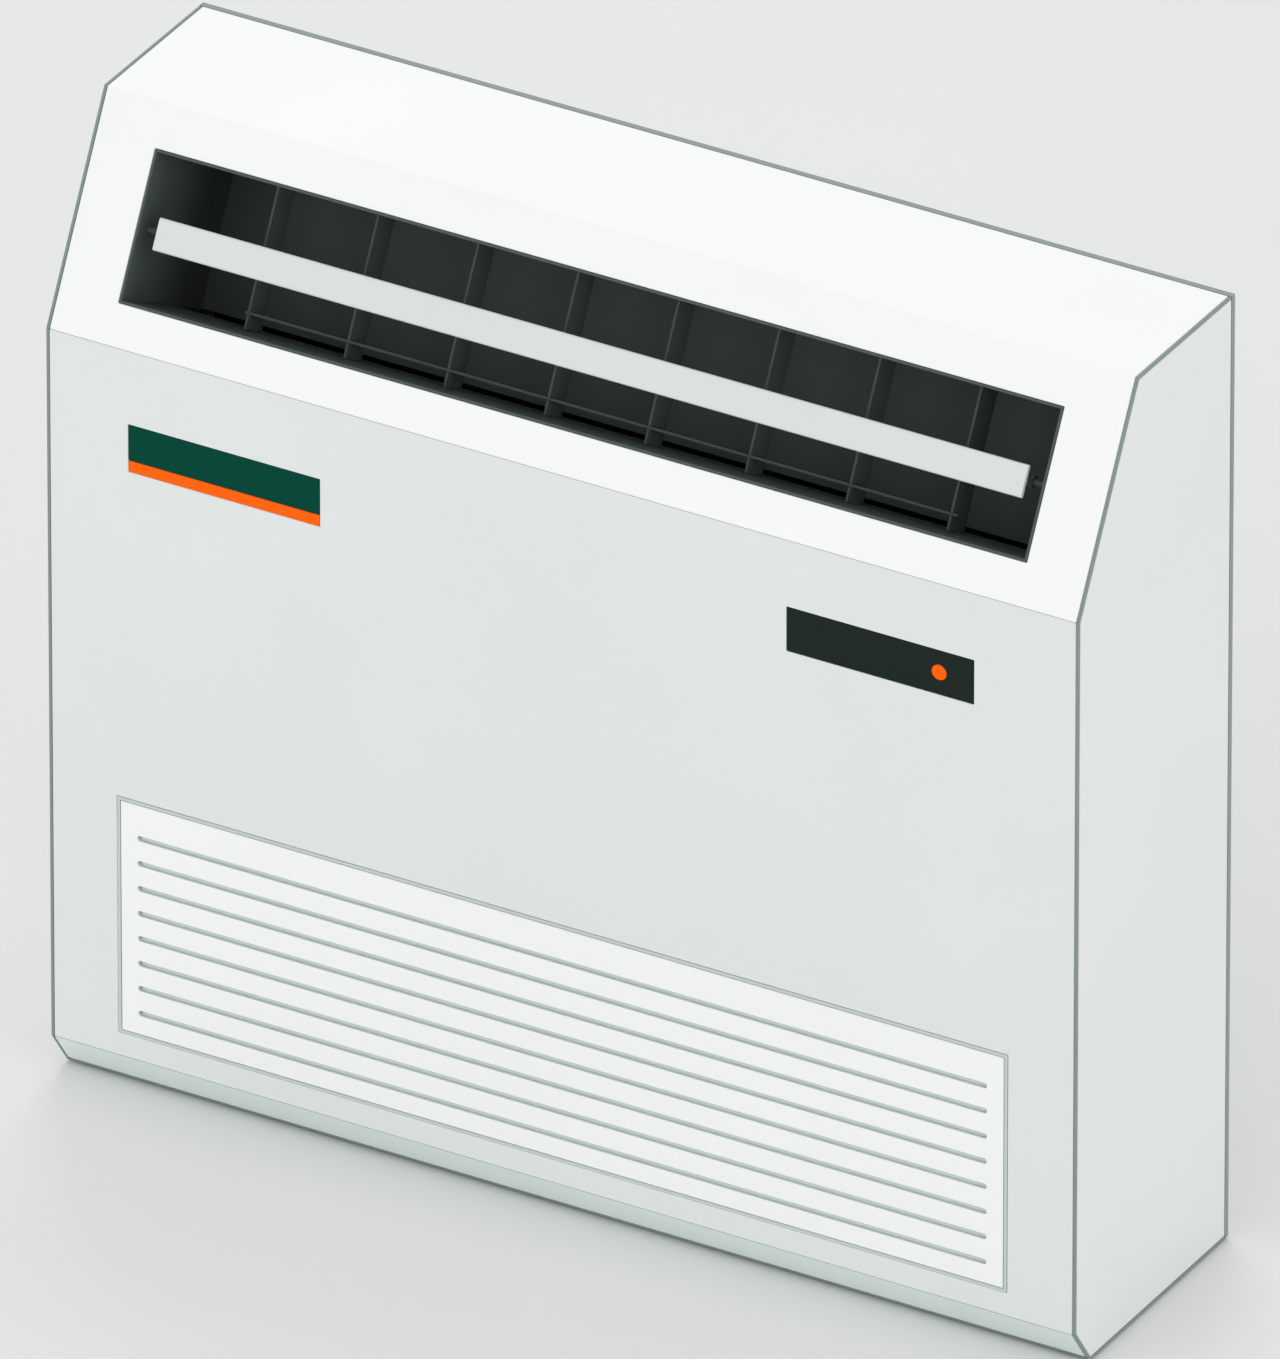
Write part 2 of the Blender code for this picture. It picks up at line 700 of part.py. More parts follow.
def make_rear_plate():
    """The sheet that closes the back, with a rim all round and its openings."""
    plate = block("rear_plate", (-HALF_WIDTH, RIM_FRONT_Y, FOOT_HEIGHT),
                  (HALF_WIDTH, BACK, HEIGHT), "sheet_grey")
    hollow = block("rear_hollow",
                   (REAR_SHEET - HALF_WIDTH, RIM_FRONT_Y - REAR_RIM, FOOT_HEIGHT + REAR_SHEET),
                   (HALF_WIDTH - REAR_SHEET, BACK - REAR_SHEET, HEIGHT - REAR_SHEET),
                   "sheet_grey", cutter=True)
    cut(plate, hollow)
    hang_height = HEIGHT - HANG_DROP
    openings = {
        "hang_slot_left": stadium(-HANG_X, hang_height, HANG_SLOT, HANG_HEIGHT),
        "hang_slot_right": stadium(HANG_X, hang_height, HANG_SLOT, HANG_HEIGHT),
        "pipe_hole": circle(PIPE_HOLE_X, PIPE_HOLE_Z, PIPE_HOLE_RADIUS),
        "cable_hole": circle(CABLE_X, CABLE_Z, CABLE_GLAND_RADIUS + GAP),
    }
    for name, outline in openings.items():
        cut(plate, slab(name, outline, REAR_CUT,
                        frame_facing_front(BACK + REAR_SHEET), "sheet_grey", cutter=True))


def make_cable_gland():
    """The empty inlet for the mains lead, a flanged bush in the rear plate."""
    inside = REAR_SHEET + GAP
    flange = CABLE_GLAND_RADIUS + REAR_SHEET
    turned("cable_gland", [
        (CABLE_BORE_RADIUS, GAP), (CABLE_GLAND_RADIUS, GAP), (CABLE_GLAND_RADIUS, inside),
        (flange, inside), (flange, CABLE_GLAND_LENGTH), (CABLE_BORE_RADIUS, CABLE_GLAND_LENGTH),
    ], frame_facing_front(BACK) @ Matrix.Translation((CABLE_X, CABLE_Z, 0)), "rubber")


def make_sides():
    """Each end: its grey edging and the end panel with its inner rim."""
    outer = casing_section(0, SHELL_BACK_Y)
    inner = casing_section(EDGE_FACE, SHELL_BACK_Y)
    trim = [outer[i] for i in (2, 3, 4, 5, 0, 1)] + [inner[i] for i in (1, 0, 5, 4, 3, 2)]
    face = casing_section(EDGE_FACE + GAP, SHELL_BACK_Y)
    rim_outer = casing_section(PANEL_RETURN + GAP, SHELL_BACK_Y - GAP)
    rim_inner = casing_section(PANEL_RETURN + GAP + RIM_WALL, SHELL_BACK_Y - GAP - RIM_WALL)
    overlap = SIDE_WALL / 2
    for side, low, rim_low in (("left", -HALF_WIDTH, -HALF_WIDTH + overlap),
                               ("right", HALF_WIDTH - SIDE_WALL,
                                HALF_WIDTH - SIDE_WALL - RIM_DEPTH)):
        slab(f"edge_trim_{side}", trim, SIDE_WALL, frame_facing_x(low), "edge_grey")
        cover = slab(f"side_cover_{side}", face, SIDE_WALL, frame_facing_x(low), "front_grey")
        rim = slab(f"side_rim_{side}", rim_outer, RIM_DEPTH + overlap,
                   frame_facing_x(rim_low), "front_grey", holes=(rim_inner,), cutter=True)
        join(cover, rim)


# Fittings on the front

def make_badge():
    """The bare two-colour plate, green over orange, in its recess."""
    top = BADGE_Z + badge_height() / 2
    middle = top - BADGE_PLATE_HEIGHT
    depth = BADGE_RECESS - GAP
    left = BADGE_X - BADGE_WIDTH / 2
    right = BADGE_X + BADGE_WIDTH / 2
    slab("badge_plate", rectangle((left, middle), (right, top)), depth,
         frame_facing_front(FRONT + depth), "badge_green")
    stripe_top = middle - GAP
    slab("badge_stripe", rectangle((left, stripe_top - BADGE_STRIPE_HEIGHT), (right, stripe_top)),
         depth, frame_facing_front(FRONT + depth), "badge_orange")


def make_display():
    """Window, button, housing and the board behind them."""
    hole = BUTTON_RADIUS + GAP
    boss = hole + GUIDE_WALL
    guide_end = WINDOW_THICKNESS + GUIDE_LENGTH
    window = slab("display_window",
                  centred_rectangle(WINDOW_X, WINDOW_Z, WINDOW_WIDTH, WINDOW_HEIGHT),
                  WINDOW_THICKNESS, frame_facing_front(FRONT + WINDOW_THICKNESS),
                  "window_dark", holes=(circle(BUTTON_X, WINDOW_Z, hole),))
    facing = frame_facing_front(FRONT) @ Matrix.Translation((BUTTON_X, WINDOW_Z, 0))
    guide = turned("button_guide", [
        (hole, -guide_end), (boss, -guide_end),
        (boss, -WINDOW_THICKNESS / 2), (hole, -WINDOW_THICKNESS / 2),
    ], facing, "window_dark", cutter=True)
    join(window, guide)
    collar = guide_end + GAP
    button = turned("power_button", [
        (0, -BUTTON_LENGTH), (BUTTON_RADIUS, -BUTTON_LENGTH), (boss, -BUTTON_LENGTH),
        (boss, -collar), (BUTTON_RADIUS, -collar), (BUTTON_RADIUS, 0), (0, 0),
    ], facing, "badge_orange")
    pivot("button_axis", (BUTTON_X, FRONT, WINDOW_Z), [button])
    make_display_housing()


def make_display_housing():
    """The open box behind the window, and its board with the key switch."""
    half_x = WINDOW_WIDTH / 2 + GAP
    half_z = WINDOW_HEIGHT / 2 + GAP
    front = FRONT + SHELL_WALL + GAP
    back = front + HOUSING_DEPTH
    shell = block("display_housing",
                  (WINDOW_X - half_x - HOUSING_WALL, front, WINDOW_Z - half_z - HOUSING_WALL),
                  (WINDOW_X + half_x + HOUSING_WALL, back, WINDOW_Z + half_z + HOUSING_WALL),
                  "duct_dark")
    cut(shell, block("housing_hollow",
                     (WINDOW_X - half_x, front - HOUSING_WALL, WINDOW_Z - half_z),
                     (WINDOW_X + half_x, back - HOUSING_WALL, WINDOW_Z + half_z),
                     "duct_dark", cutter=True))
    board_back = back - HOUSING_WALL - GAP
    board_front = board_back - BOARD_THICKNESS
    board = block("display_board",
                  (WINDOW_X - half_x + GAP, board_front, WINDOW_Z - half_z + GAP),
                  (WINDOW_X + half_x - GAP, board_back, WINDOW_Z + half_z - GAP), "board_green")
    switch_front = FRONT + BUTTON_LENGTH + BUTTON_TRAVEL + GAP
    switch = block("key_switch",
                   (BUTTON_X - SWITCH_SIZE / 2, switch_front, WINDOW_Z - SWITCH_SIZE / 2),
                   (BUTTON_X + SWITCH_SIZE / 2, board_front + BOARD_THICKNESS / 2,
                    WINDOW_Z + SWITCH_SIZE / 2), "board_green", cutter=True)
    join(board, switch)


def make_grille():
    """The grey edging in the front panel and the hinged grille with its slots."""
    centre = GRILLE_FOOT + GRILLE_HEIGHT / 2
    inner_width = GRILLE_WIDTH - 2 * GRILLE_EDGE
    inner_height = GRILLE_HEIGHT - 2 * GRILLE_EDGE
    edge = slab("grille_frame", centred_rectangle(0, centre, GRILLE_WIDTH, GRILLE_HEIGHT),
                GRILLE_FRAME_DEPTH, frame_facing_front(FRONT + GRILLE_FRAME_DEPTH), "trim_grey",
                holes=(centred_rectangle(0, centre, inner_width, inner_height),))
    width = inner_width - 2 * GRILLE_CLEAR
    slots = [stadium(0, SLOT_FOOT + SLOT_PITCH * row, SLOT_LENGTH, SLOT_HEIGHT)
             for row in range(SLOT_COUNT)]
    grille = slab("intake_grille",
                  centred_rectangle(0, centre, width, inner_height - 2 * GRILLE_CLEAR),
                  GRILLE_THICKNESS, frame_facing_front(FRONT + GRILLE_THICKNESS),
                  "grille_white", holes=slots)
    y = FRONT + GRILLE_THICKNESS / 2
    z = GRILLE_FOOT + GRILLE_EDGE + GRILLE_CLEAR + HINGE_RISE
    for side in (-1, 1):
        end = side * width / 2
        root = end - side * HINGE_PIN_LENGTH
        tip = end + side * HINGE_PIN_LENGTH
        join(grille, rod(f"grille_pin_{side}", (root, y, z), (tip, y, z), HINGE_PIN_RADIUS,
                         "grille_white", SMALL_SIDES, cutter=True))
        cut(edge, rod(f"grille_pin_hole_{side}", (root, y, z), (tip + side * GAP, y, z),
                      HINGE_PIN_RADIUS + GAP, "trim_grey", SMALL_SIDES, cutter=True))
    pivot("grille_axis", (0, y, z), [grille])


def make_filters():
    """The channel frame behind the grille and the two filters that lift in it."""
    frame_front = FRONT + GRILLE_FRAME_DEPTH + GAP
    front = frame_front + CHANNEL_WALL + CHANNEL_SLACK
    back = front + FILTER_THICKNESS
    frame_back = back + CHANNEL_SLACK + CHANNEL_WALL
    low = GRILLE_FOOT
    high = GRILLE_FOOT + GRILLE_HEIGHT
    half = GRILLE_WIDTH / 2
    window = rectangle((-half + CHANNEL_LIP + CHANNEL_WALL, low + CHANNEL_LIP),
                       (half - CHANNEL_LIP - CHANNEL_WALL, high - CHANNEL_LIP))
    holder = slab("filter_frame", rectangle((-half, low), (half, high)),
                  frame_back - frame_front, frame_facing_front(frame_back), "edge_grey",
                  holes=(window,))
    cut(holder, block("filter_channel",
                      (-half + CHANNEL_WALL, front - CHANNEL_SLACK, low + CHANNEL_WALL),
                      (half - CHANNEL_WALL, back + CHANNEL_SLACK, high - CHANNEL_WALL),
                      "edge_grey", cutter=True))
    foot = low + CHANNEL_WALL + GAP
    top = high - CHANNEL_WALL - GAP - FILTER_LIFT
    for side, sign in (("left", -1), ("right", 1)):
        outer = sign * (half - CHANNEL_WALL - GAP)
        inner = sign * GAP
        x_low, x_high = min(outer, inner), max(outer, inner)
        column = (x_high - x_low - FILTER_BAR) / FILTER_COLUMNS
        row = (top - foot - FILTER_BAR) / FILTER_ROWS
        middle = (front + back) / 2
        recesses = []
        for i in range(FILTER_COLUMNS):
            for j in range(FILTER_ROWS):
                x = x_low + FILTER_BAR + i * column
                z = foot + FILTER_BAR + j * row
                for y_low, y_high in ((front - FILTER_NET, middle - FILTER_NET / 2),
                                      (middle + FILTER_NET / 2, back + FILTER_NET)):
                    recesses.append(((x, y_low, z),
                                     (x + column - FILTER_BAR, y_high, z + row - FILTER_BAR)))
        bars = block(f"filter_{side}", (x_low, front, foot), (x_high, back, top), "filter_grey")
        cut(bars, block_set(f"filter_panes_{side}", recesses, "filter_grey"))
        pivot(f"filter_{side}_slide", ((x_low + x_high) / 2, middle, foot), [bars])


# Outlet

def duct_inside():
    """The duct's inner half width, and its lowest and highest place up the slope."""
    half = OUTLET_WIDTH / 2 - GAP - DUCT_WALL
    low = OUTLET_FOOT + GAP + DUCT_WALL
    high = OUTLET_FOOT + OUTLET_HEIGHT - GAP - DUCT_WALL
    return half, low, high


def vane_places():
    """Each guide vane's place along the width."""
    first = -VANE_PITCH * (VANE_COUNT - 1) / 2
    return [first + VANE_PITCH * index for index in range(VANE_COUNT)]


def make_outlet_duct():
    """The dark duct behind the outlet, closed at its rear and open underneath to the coil."""
    frame = slope_frame()
    half, low, high = duct_inside()
    wall = DUCT_WALL
    reach = wall + DUCT_FLANGE
    flange_top = -SHELL_WALL - GAP
    duct = block("outlet_duct", (-half - wall, low - wall, -DUCT_DEPTH),
                 (half + wall, high + wall, 0), "duct_dark", frame)
    flange = block("duct_flange", (-half - reach, low - reach, flange_top - DUCT_WALL),
                   (half + reach, high + reach, flange_top), "duct_dark", frame, cutter=True)
    hollow = block("duct_hollow", (-half, low, wall - DUCT_DEPTH), (half, high, wall),
                   "duct_dark", frame, cutter=True)
    rear = 2 * wall - DUCT_DEPTH
    intake = block("duct_intake", (-half + wall, low - 2 * wall, rear),
                   (half - wall, low + wall, rear + DUCT_INTAKE), "duct_dark", frame,
                   cutter=True)
    join(duct, flange)
    cut(duct, hollow, intake)
    for side in (-1, 1):
        place = (side * (half - wall), FLAP_CENTRE, -FLAP_AXIS_DEPTH)
        end = (side * (half + 2 * wall), FLAP_CENTRE, -FLAP_AXIS_DEPTH)
        cut(duct, rod(f"flap_pin_hole_{side}", place, end, FLAP_PIN_RADIUS + GAP, "duct_dark",
                      SMALL_SIDES, cutter=True, matrix=frame))
    for number, x in enumerate(vane_places(), 1):
        cut(duct, rod(f"vane_pin_hole_{number}", (x, low - 2 * wall, -VANE_AXIS_DEPTH),
                      (x, high + 2 * wall, -VANE_AXIS_DEPTH), VANE_PIN_RADIUS + GAP,
                      "duct_dark", SMALL_SIDES, cutter=True, matrix=frame))


def make_flap():
    """The light flap, on arms that swing about pins behind it, and its motor."""
    frame = slope_frame()
    half, _, _ = duct_inside()
    middle = -GAP - FLAP_THICKNESS / 2
    section = stadium(FLAP_CENTRE, middle, FLAP_CHORD, FLAP_THICKNESS)
    flap = slab("outlet_flap", section, FLAP_WIDTH, frame @ frame_facing_x(-FLAP_WIDTH / 2),
                "flap_grey")
    axis = -FLAP_AXIS_DEPTH
    for side in (-1, 1):
        outer = side * FLAP_WIDTH / 2
        inner = outer - side * FLAP_ARM
        arm = block(f"flap_arm_{side}",
                    (min(outer, inner) + GAP, FLAP_CENTRE - FLAP_BOSS_RADIUS / 2, axis),
                    (max(outer, inner) - GAP, FLAP_CENTRE + FLAP_BOSS_RADIUS / 2, middle),
                    "flap_grey", frame, cutter=True)
        boss = rod(f"flap_boss_{side}", (inner, FLAP_CENTRE, axis), (outer, FLAP_CENTRE, axis),
                   FLAP_BOSS_RADIUS, "flap_grey", ROUND_SIDES, cutter=True, matrix=frame)
        tip = side * (half + DUCT_WALL)
        pin = rod(f"flap_pin_{side}", (outer - side * FLAP_ARM / 2, FLAP_CENTRE, axis),
                  (tip, FLAP_CENTRE, axis), FLAP_PIN_RADIUS, "flap_grey", SMALL_SIDES,
                  cutter=True, matrix=frame)
        join(flap, arm, boss, pin)
    pivot("flap_axis", frame @ Vector((0, FLAP_CENTRE, axis)), [flap])
    face = half + DUCT_WALL + GAP
    motor = rod("flap_motor", (face, FLAP_CENTRE, axis),
                (face + FLAP_MOTOR_LENGTH, FLAP_CENTRE, axis), FLAP_MOTOR_RADIUS, "steel",
                matrix=frame)
    ears = block("flap_motor_ears",
                 (face, FLAP_CENTRE - FLAP_EAR, axis - FLAP_PIN_RADIUS),
                 (face + DUCT_WALL, FLAP_CENTRE + FLAP_EAR, axis + FLAP_PIN_RADIUS),
                 "steel", frame, cutter=True)
    join(motor, ears)


def make_vanes():
    """The upright guide vanes on their pins, each with a peg in a slot of the link."""
    frame = slope_frame()
    _, low, high = duct_inside()
    axis = -VANE_AXIS_DEPTH
    link_low = low + LINK_HEIGHT
    link_high = link_low + LINK_THICKNESS
    room = LINK_PEG_RADIUS + LINK_SLACK
    slot_back = axis + LINK_ARM * math.cos(math.radians(VANE_SWING)) - room
    slot_front = axis + LINK_ARM + room
    half = VANE_THICKNESS / 2
    end_x = vane_places()[-1] + room + 2 * LINK_RIM
    link = block("vane_link", (-end_x, link_low, slot_back - LINK_RIM),
                 (end_x, link_high, slot_front + LINK_RIM), "duct_dark", frame)
    for number, x in enumerate(vane_places(), 1):
        vane = block(f"guide_vane_{number}", (x - half, low + 2 * GAP, axis - VANE_CHORD_REAR),
                     (x + half, high - 2 * GAP, axis + VANE_CHORD_FRONT), "duct_dark", frame)
        notch = block(f"vane_notch_{number}",
                      (x - VANE_THICKNESS, link_low - GAP, slot_back - LINK_RIM - GAP),
                      (x + VANE_THICKNESS, link_high + GAP, axis + 2 * VANE_CHORD_FRONT),
                      "duct_dark", frame, cutter=True)
        cut(vane, notch)
        rods = {
            "pin_low": (low + WIDE_GAP, low - DUCT_WALL, 0, VANE_PIN_RADIUS),
            "pin_high": (high - WIDE_GAP, high + DUCT_WALL, 0, VANE_PIN_RADIUS),
            "peg": (link_low - WIDE_GAP, link_high + WIDE_GAP, LINK_ARM, LINK_PEG_RADIUS),
        }
        for name, (start, tip, arm, radius) in rods.items():
            join(vane, rod(f"vane_{name}_{number}", (x, start, axis + arm), (x, tip, axis + arm),
                           radius, "duct_dark", SMALL_SIDES, cutter=True, matrix=frame))
        pivot(f"vane_axis_{number}", frame @ Vector((x, low, axis)), [vane])
        cut(link, block(f"link_slot_{number}", (x - room, link_low - GAP, slot_back),
                        (x + room, link_high + GAP, slot_front), "duct_dark", frame,
                        cutter=True))
    pivot("link_slide", frame @ Vector((0, link_low, axis + LINK_ARM)), [link])


# Fans

def scroll_inside():
    """The scroll's inner outline in Y and Z, open at the deck."""
    top = DECK_Z - GAP
    points = []
    for step in range(SCROLL_STEPS + 1):
        share = step / SCROLL_STEPS
        angle = math.radians(TONGUE_ANGLE + (360 - TONGUE_ANGLE) * share)
        radius = SCROLL_START + (SCROLL_END - SCROLL_START) * share
        points.append((SHAFT_Y + radius * math.cos(angle), SHAFT_Z + radius * math.sin(angle)))
    return [(points[0][0], top), *points, (points[-1][0], top)]


def make_scrolls():
    """The two fan housings, each open at both ends and at the deck."""
    inner = scroll_inside()
    outer = offset_path(inner, -SCROLL_WALL)
    top = DECK_Z - GAP
    outer[0] = (outer[0][0], top)
    outer[-1] = (outer[-1][0], top)
    above = [(y, z + SCROLL_WALL * 2) if z == top else (y, z) for y, z in inner]
    for side, centre in (("left", -WHEEL_CENTRE), ("right", WHEEL_CENTRE)):
        low = centre - SCROLL_LENGTH / 2
        high = centre + SCROLL_LENGTH / 2
        scroll = slab(f"fan_scroll_{side}", outer, SCROLL_LENGTH, frame_facing_x(low),
                      "fan_plastic")
        hollow = slab(f"scroll_hollow_{side}", above, SCROLL_LENGTH - 2 * SCROLL_WALL,
                      frame_facing_x(low + SCROLL_WALL), "fan_plastic", cutter=True)
        inlet = rod(f"scroll_inlet_{side}", (low - SCROLL_WALL, SHAFT_Y, SHAFT_Z),
                    (high + SCROLL_WALL, SHAFT_Y, SHAFT_Z), SCROLL_INLET, "fan_plastic",
                    cutter=True)
        cut(scroll, hollow, inlet)


def blade_set(name, centre):
    """All the blades of one wheel as separate bars in one mesh, to be joined to its disc."""
    working = bmesh.new()
    ring = WHEEL_RADIUS - BLADE_CHORD / 2 * math.cos(math.radians(BLADE_LEAN)) - BLADE_SINK
    for index in range(BLADE_COUNT):
        around = Matrix.Rotation(math.tau * index / BLADE_COUNT, 4, "X")
        place = Matrix.Translation((0, 0, ring)) @ Matrix.Rotation(
            math.radians(BLADE_LEAN), 4, "X")
        size = Matrix.Diagonal((WHEEL_LENGTH - WHEEL_RING, BLADE_THICKNESS, BLADE_CHORD, 1))
        bmesh.ops.create_cube(working, size=1.0, matrix=around @ place @ size)
    mesh = bpy.data.meshes.new(name)
    working.to_mesh(mesh)
    working.free()
    return adopt(name, mesh, "fan_plastic", Matrix.Translation((centre, SHAFT_Y, SHAFT_Z)),
                 cutter=True)


def make_rotor():
    """The two squirrel-cage wheels on their shaft."""
    shaft_end = WHEEL_CENTRE + WHEEL_HUB_LENGTH
    shaft = rod("fan_shaft", (-shaft_end, SHAFT_Y, SHAFT_Z), (shaft_end, SHAFT_Y, SHAFT_Z),
                SHAFT_RADIUS, "steel")
    wheels = []
    inner = WHEEL_RADIUS - BLADE_CHORD
    for side, centre in (("left", -WHEEL_CENTRE), ("right", WHEEL_CENTRE)):
        wheel = rod(f"fan_wheel_{side}", (centre - WHEEL_DISC / 2, SHAFT_Y, SHAFT_Z),
                    (centre + WHEEL_DISC / 2, SHAFT_Y, SHAFT_Z), WHEEL_RADIUS, "fan_plastic")
        join(wheel, blade_set(f"fan_blades_{side}", centre))
        for end in (-1, 1):
            face = centre + end * WHEEL_LENGTH / 2
            ring = turned(f"wheel_ring_{side}_{end}", [
                (inner, -WHEEL_RING / 2), (WHEEL_RADIUS, -WHEEL_RING / 2),
                (WHEEL_RADIUS, WHEEL_RING / 2), (inner, WHEEL_RING / 2),
            ], Matrix.Translation((face - end * WHEEL_RING / 2, SHAFT_Y, SHAFT_Z))
                @ Matrix.Rotation(math.pi / 2, 4, "Y"), "fan_plastic", cutter=True)
            join(wheel, ring)
        hub = rod(f"wheel_hub_{side}", (centre - WHEEL_HUB_LENGTH / 2, SHAFT_Y, SHAFT_Z),
                  (centre + WHEEL_HUB_LENGTH / 2, SHAFT_Y, SHAFT_Z), WHEEL_HUB_RADIUS,
                  "fan_plastic", cutter=True)
        bore = rod(f"wheel_bore_{side}", (centre - WHEEL_HUB_LENGTH, SHAFT_Y, SHAFT_Z),
                   (centre + WHEEL_HUB_LENGTH, SHAFT_Y, SHAFT_Z), SHAFT_RADIUS + GAP,
                   "fan_plastic", cutter=True)
        join(wheel, hub)
        cut(wheel, bore)
        wheels.append(wheel)
    pivot("fan_axis", (0, SHAFT_Y, SHAFT_Z), [shaft, *wheels])


def make_motor():
    """The two-ended motor and the cradle that hangs it from the deck."""
    along = Matrix.Translation((0, SHAFT_Y, SHAFT_Z)) @ Matrix.Rotation(math.pi / 2, 4, "Y")
    bore = SHAFT_RADIUS + GAP
    half = MOTOR_LENGTH / 2
    nose = half + MOTOR_BOSS_LENGTH
    turned("fan_motor", [
        (bore, -nose), (MOTOR_BOSS_RADIUS, -nose), (MOTOR_BOSS_RADIUS, -half),
        (MOTOR_RADIUS, -half), (MOTOR_RADIUS, half), (MOTOR_BOSS_RADIUS, half),
        (MOTOR_BOSS_RADIUS, nose), (bore, nose),
    ], along, "steel")
    seat = MOTOR_RADIUS + GAP
    strap = seat + CRADLE_WALL
    reach = CRADLE_LENGTH / 2
    cradle = slab("motor_cradle",
                  rectangle((SHAFT_Y - strap, SHAFT_Z), (SHAFT_Y + strap, DECK_Z - GAP)),
                  CRADLE_LENGTH, frame_facing_x(-reach), "steel",
                  holes=(rectangle((SHAFT_Y - seat, SHAFT_Z + CRADLE_WALL),
                                   (SHAFT_Y + seat, DECK_Z - GAP - CRADLE_WALL)),))
    hoop = rod("cradle_hoop", (-reach, SHAFT_Y, SHAFT_Z), (reach, SHAFT_Y, SHAFT_Z), strap,
               "steel", cutter=True)
    room = rod("cradle_room", (-CRADLE_LENGTH, SHAFT_Y, SHAFT_Z),
               (CRADLE_LENGTH, SHAFT_Y, SHAFT_Z), seat, "steel", cutter=True)
    join(cradle, hoop)
    cut(cradle, room)


def make_deck():
    """The sheet between the fans and the coil, with the two fan outlets."""
    half = HALF_WIDTH - SIDE_WALL - RIM_DEPTH - GAP
    front = FRONT + SHELL_WALL + GAP
    back = BACK - REAR_SHEET - GAP
    outlet = scroll_inside()
    holes = []
    for centre in (-WHEEL_CENTRE, WHEEL_CENTRE):
        reach = SCROLL_LENGTH / 2 - SCROLL_WALL
        holes.append(rectangle((centre - reach, outlet[0][0]), (centre + reach, outlet[-1][0])))
    holes.append(circle(DRAIN_X, COIL_FOOT_Y, DRAIN_RADIUS + GAP))
    lead_room = 2 * (LEAD_RADIUS + GAP)
    holes.append(stadium(LEAD_X + LEAD_BEND / 2, LEAD_Y, LEAD_BEND + lead_room, lead_room))
    slab("fan_deck", rectangle((-half, front), (half, back)), DECK_SHEET,
         frame_facing_up(DECK_Z), "steel", holes=holes)


# Coil and pipework

def tube_places():
    """Each pass of the coil's tube, up the coil and through its thickness, in order."""
    row = COIL_THICKNESS / 4
    count = TUBE_PASSES // 2
    pitch = COIL_HEIGHT / (count + 0.5)
    front = [(pitch * (index + 0.75), row) for index in range(count)]
    rear = [(pitch * (index + 0.5), -row) for index in range(count)]
    return front + list(reversed(rear))


def make_coil():
    """The finned block, its end plates and the one tube that winds through them."""
    frame = coil_frame()
    half = COIL_WIDTH / 2
    thick = COIL_THICKNESS / 2
    pitch = COIL_WIDTH / FIN_COUNT
    outline = []
    for side in (1, -1):
        for index in range(FIN_COUNT):
            left = side * (-half + pitch * index)
            land = left + side * pitch / 2
            right = side * (-half + pitch * (index + 1))
            face = -side * thick
            groove = -side * (thick - FIN_GROOVE)
            outline += [(left, face), (land, face), (land, groove), (right, groove)]
    section = frame @ Matrix.Translation((0, COIL_HEIGHT, 0)) @ Matrix.Rotation(
        math.pi / 2, 4, "X")
    fins = prism("coil_fins", outline, COIL_HEIGHT, section, "aluminium")
    places = tube_places()
    for number, (up, through) in enumerate(places, 1):
        cut(fins, rod(f"tube_bore_{number}", (-half - COIL_PLATE, up, through),
                      (half + COIL_PLATE, up, through), TUBE_RADIUS + GAP, "aluminium",
                      SMALL_SIDES, cutter=True, matrix=frame))
    make_coil_tube(frame, places)
    foot = DECK_Z + DECK_SHEET + GAP
    low_front = frame @ Vector((0, 0, thick))
    high_front = frame @ Vector((0, COIL_HEIGHT, thick))
    high_back = frame @ Vector((0, COIL_HEIGHT, -thick))
    outline = [(low_front.y, foot), (high_back.y, foot), (high_back.y, high_back.z),
               (high_front.y, high_front.z), (low_front.y, low_front.z)]
    holes = []
    for up, through in places:
        centre = frame @ Vector((0, up, through))
        holes.append(circle(centre.y, centre.z, TUBE_RADIUS + GAP, SMALL_SIDES))
    lead_hole = circle(LEAD_Y, lead_height(), LEAD_RADIUS + GAP, SMALL_SIDES)
    slab("coil_plate_left", outline, COIL_PLATE, frame_facing_x(-half - GAP - COIL_PLATE),
         "steel", holes=holes)
    slab("coil_plate_right", outline, COIL_PLATE, frame_facing_x(half + GAP), "steel",
         holes=(*holes, lead_hole))


def make_coil_tube(frame, places):
    """One copper tube through every pass, with a bend at each turn."""
    half = COIL_WIDTH / 2 + BEND_LEAD
    path = [frame @ Vector((-TUBE_END_X, *places[0]))]
    side = -1
    for index, here in enumerate(places):
        path.append(frame @ Vector((side * half, *here)))
        path.append(frame @ Vector((-side * half, *here)))
        side = -side
        if index + 1 == len(places):
            break
        after = Vector(places[index + 1])
        centre = (Vector(here) + after) / 2
        reach = (after - Vector(here)) / 2
        for step in range(1, BEND_STEPS):
            angle = math.pi * step / BEND_STEPS
            flat = centre - reach * math.cos(angle)
            bulge = side * (half + reach.length * math.sin(angle))
            path.append(frame @ Vector((bulge, *flat)))
    path.append(frame @ Vector((-TUBE_END_X, *places[-1])))
    tube("coil_tube", [tuple(point) for point in path], TUBE_RADIUS, "copper", 1)
    for name, place in (("gas_union", places[0]), ("liquid_union", places[-1])):
        centre = frame @ Vector((-TUBE_END_X - GAP, *place))
        facing = Matrix.Translation(centre) @ Matrix.Rotation(-math.pi / 2, 4, "Y")
        nose = UNION_LENGTH * 2 / 3
        turned(name, [
            (0, 0), (UNION_RADIUS, 0), (UNION_RADIUS, UNION_LENGTH / 2),
            (TUBE_RADIUS * 2, UNION_LENGTH / 2), (TUBE_RADIUS * 2, nose),
            (TUBE_RADIUS, UNION_LENGTH), (0, UNION_LENGTH),
        ], facing, "brass", sides=6)


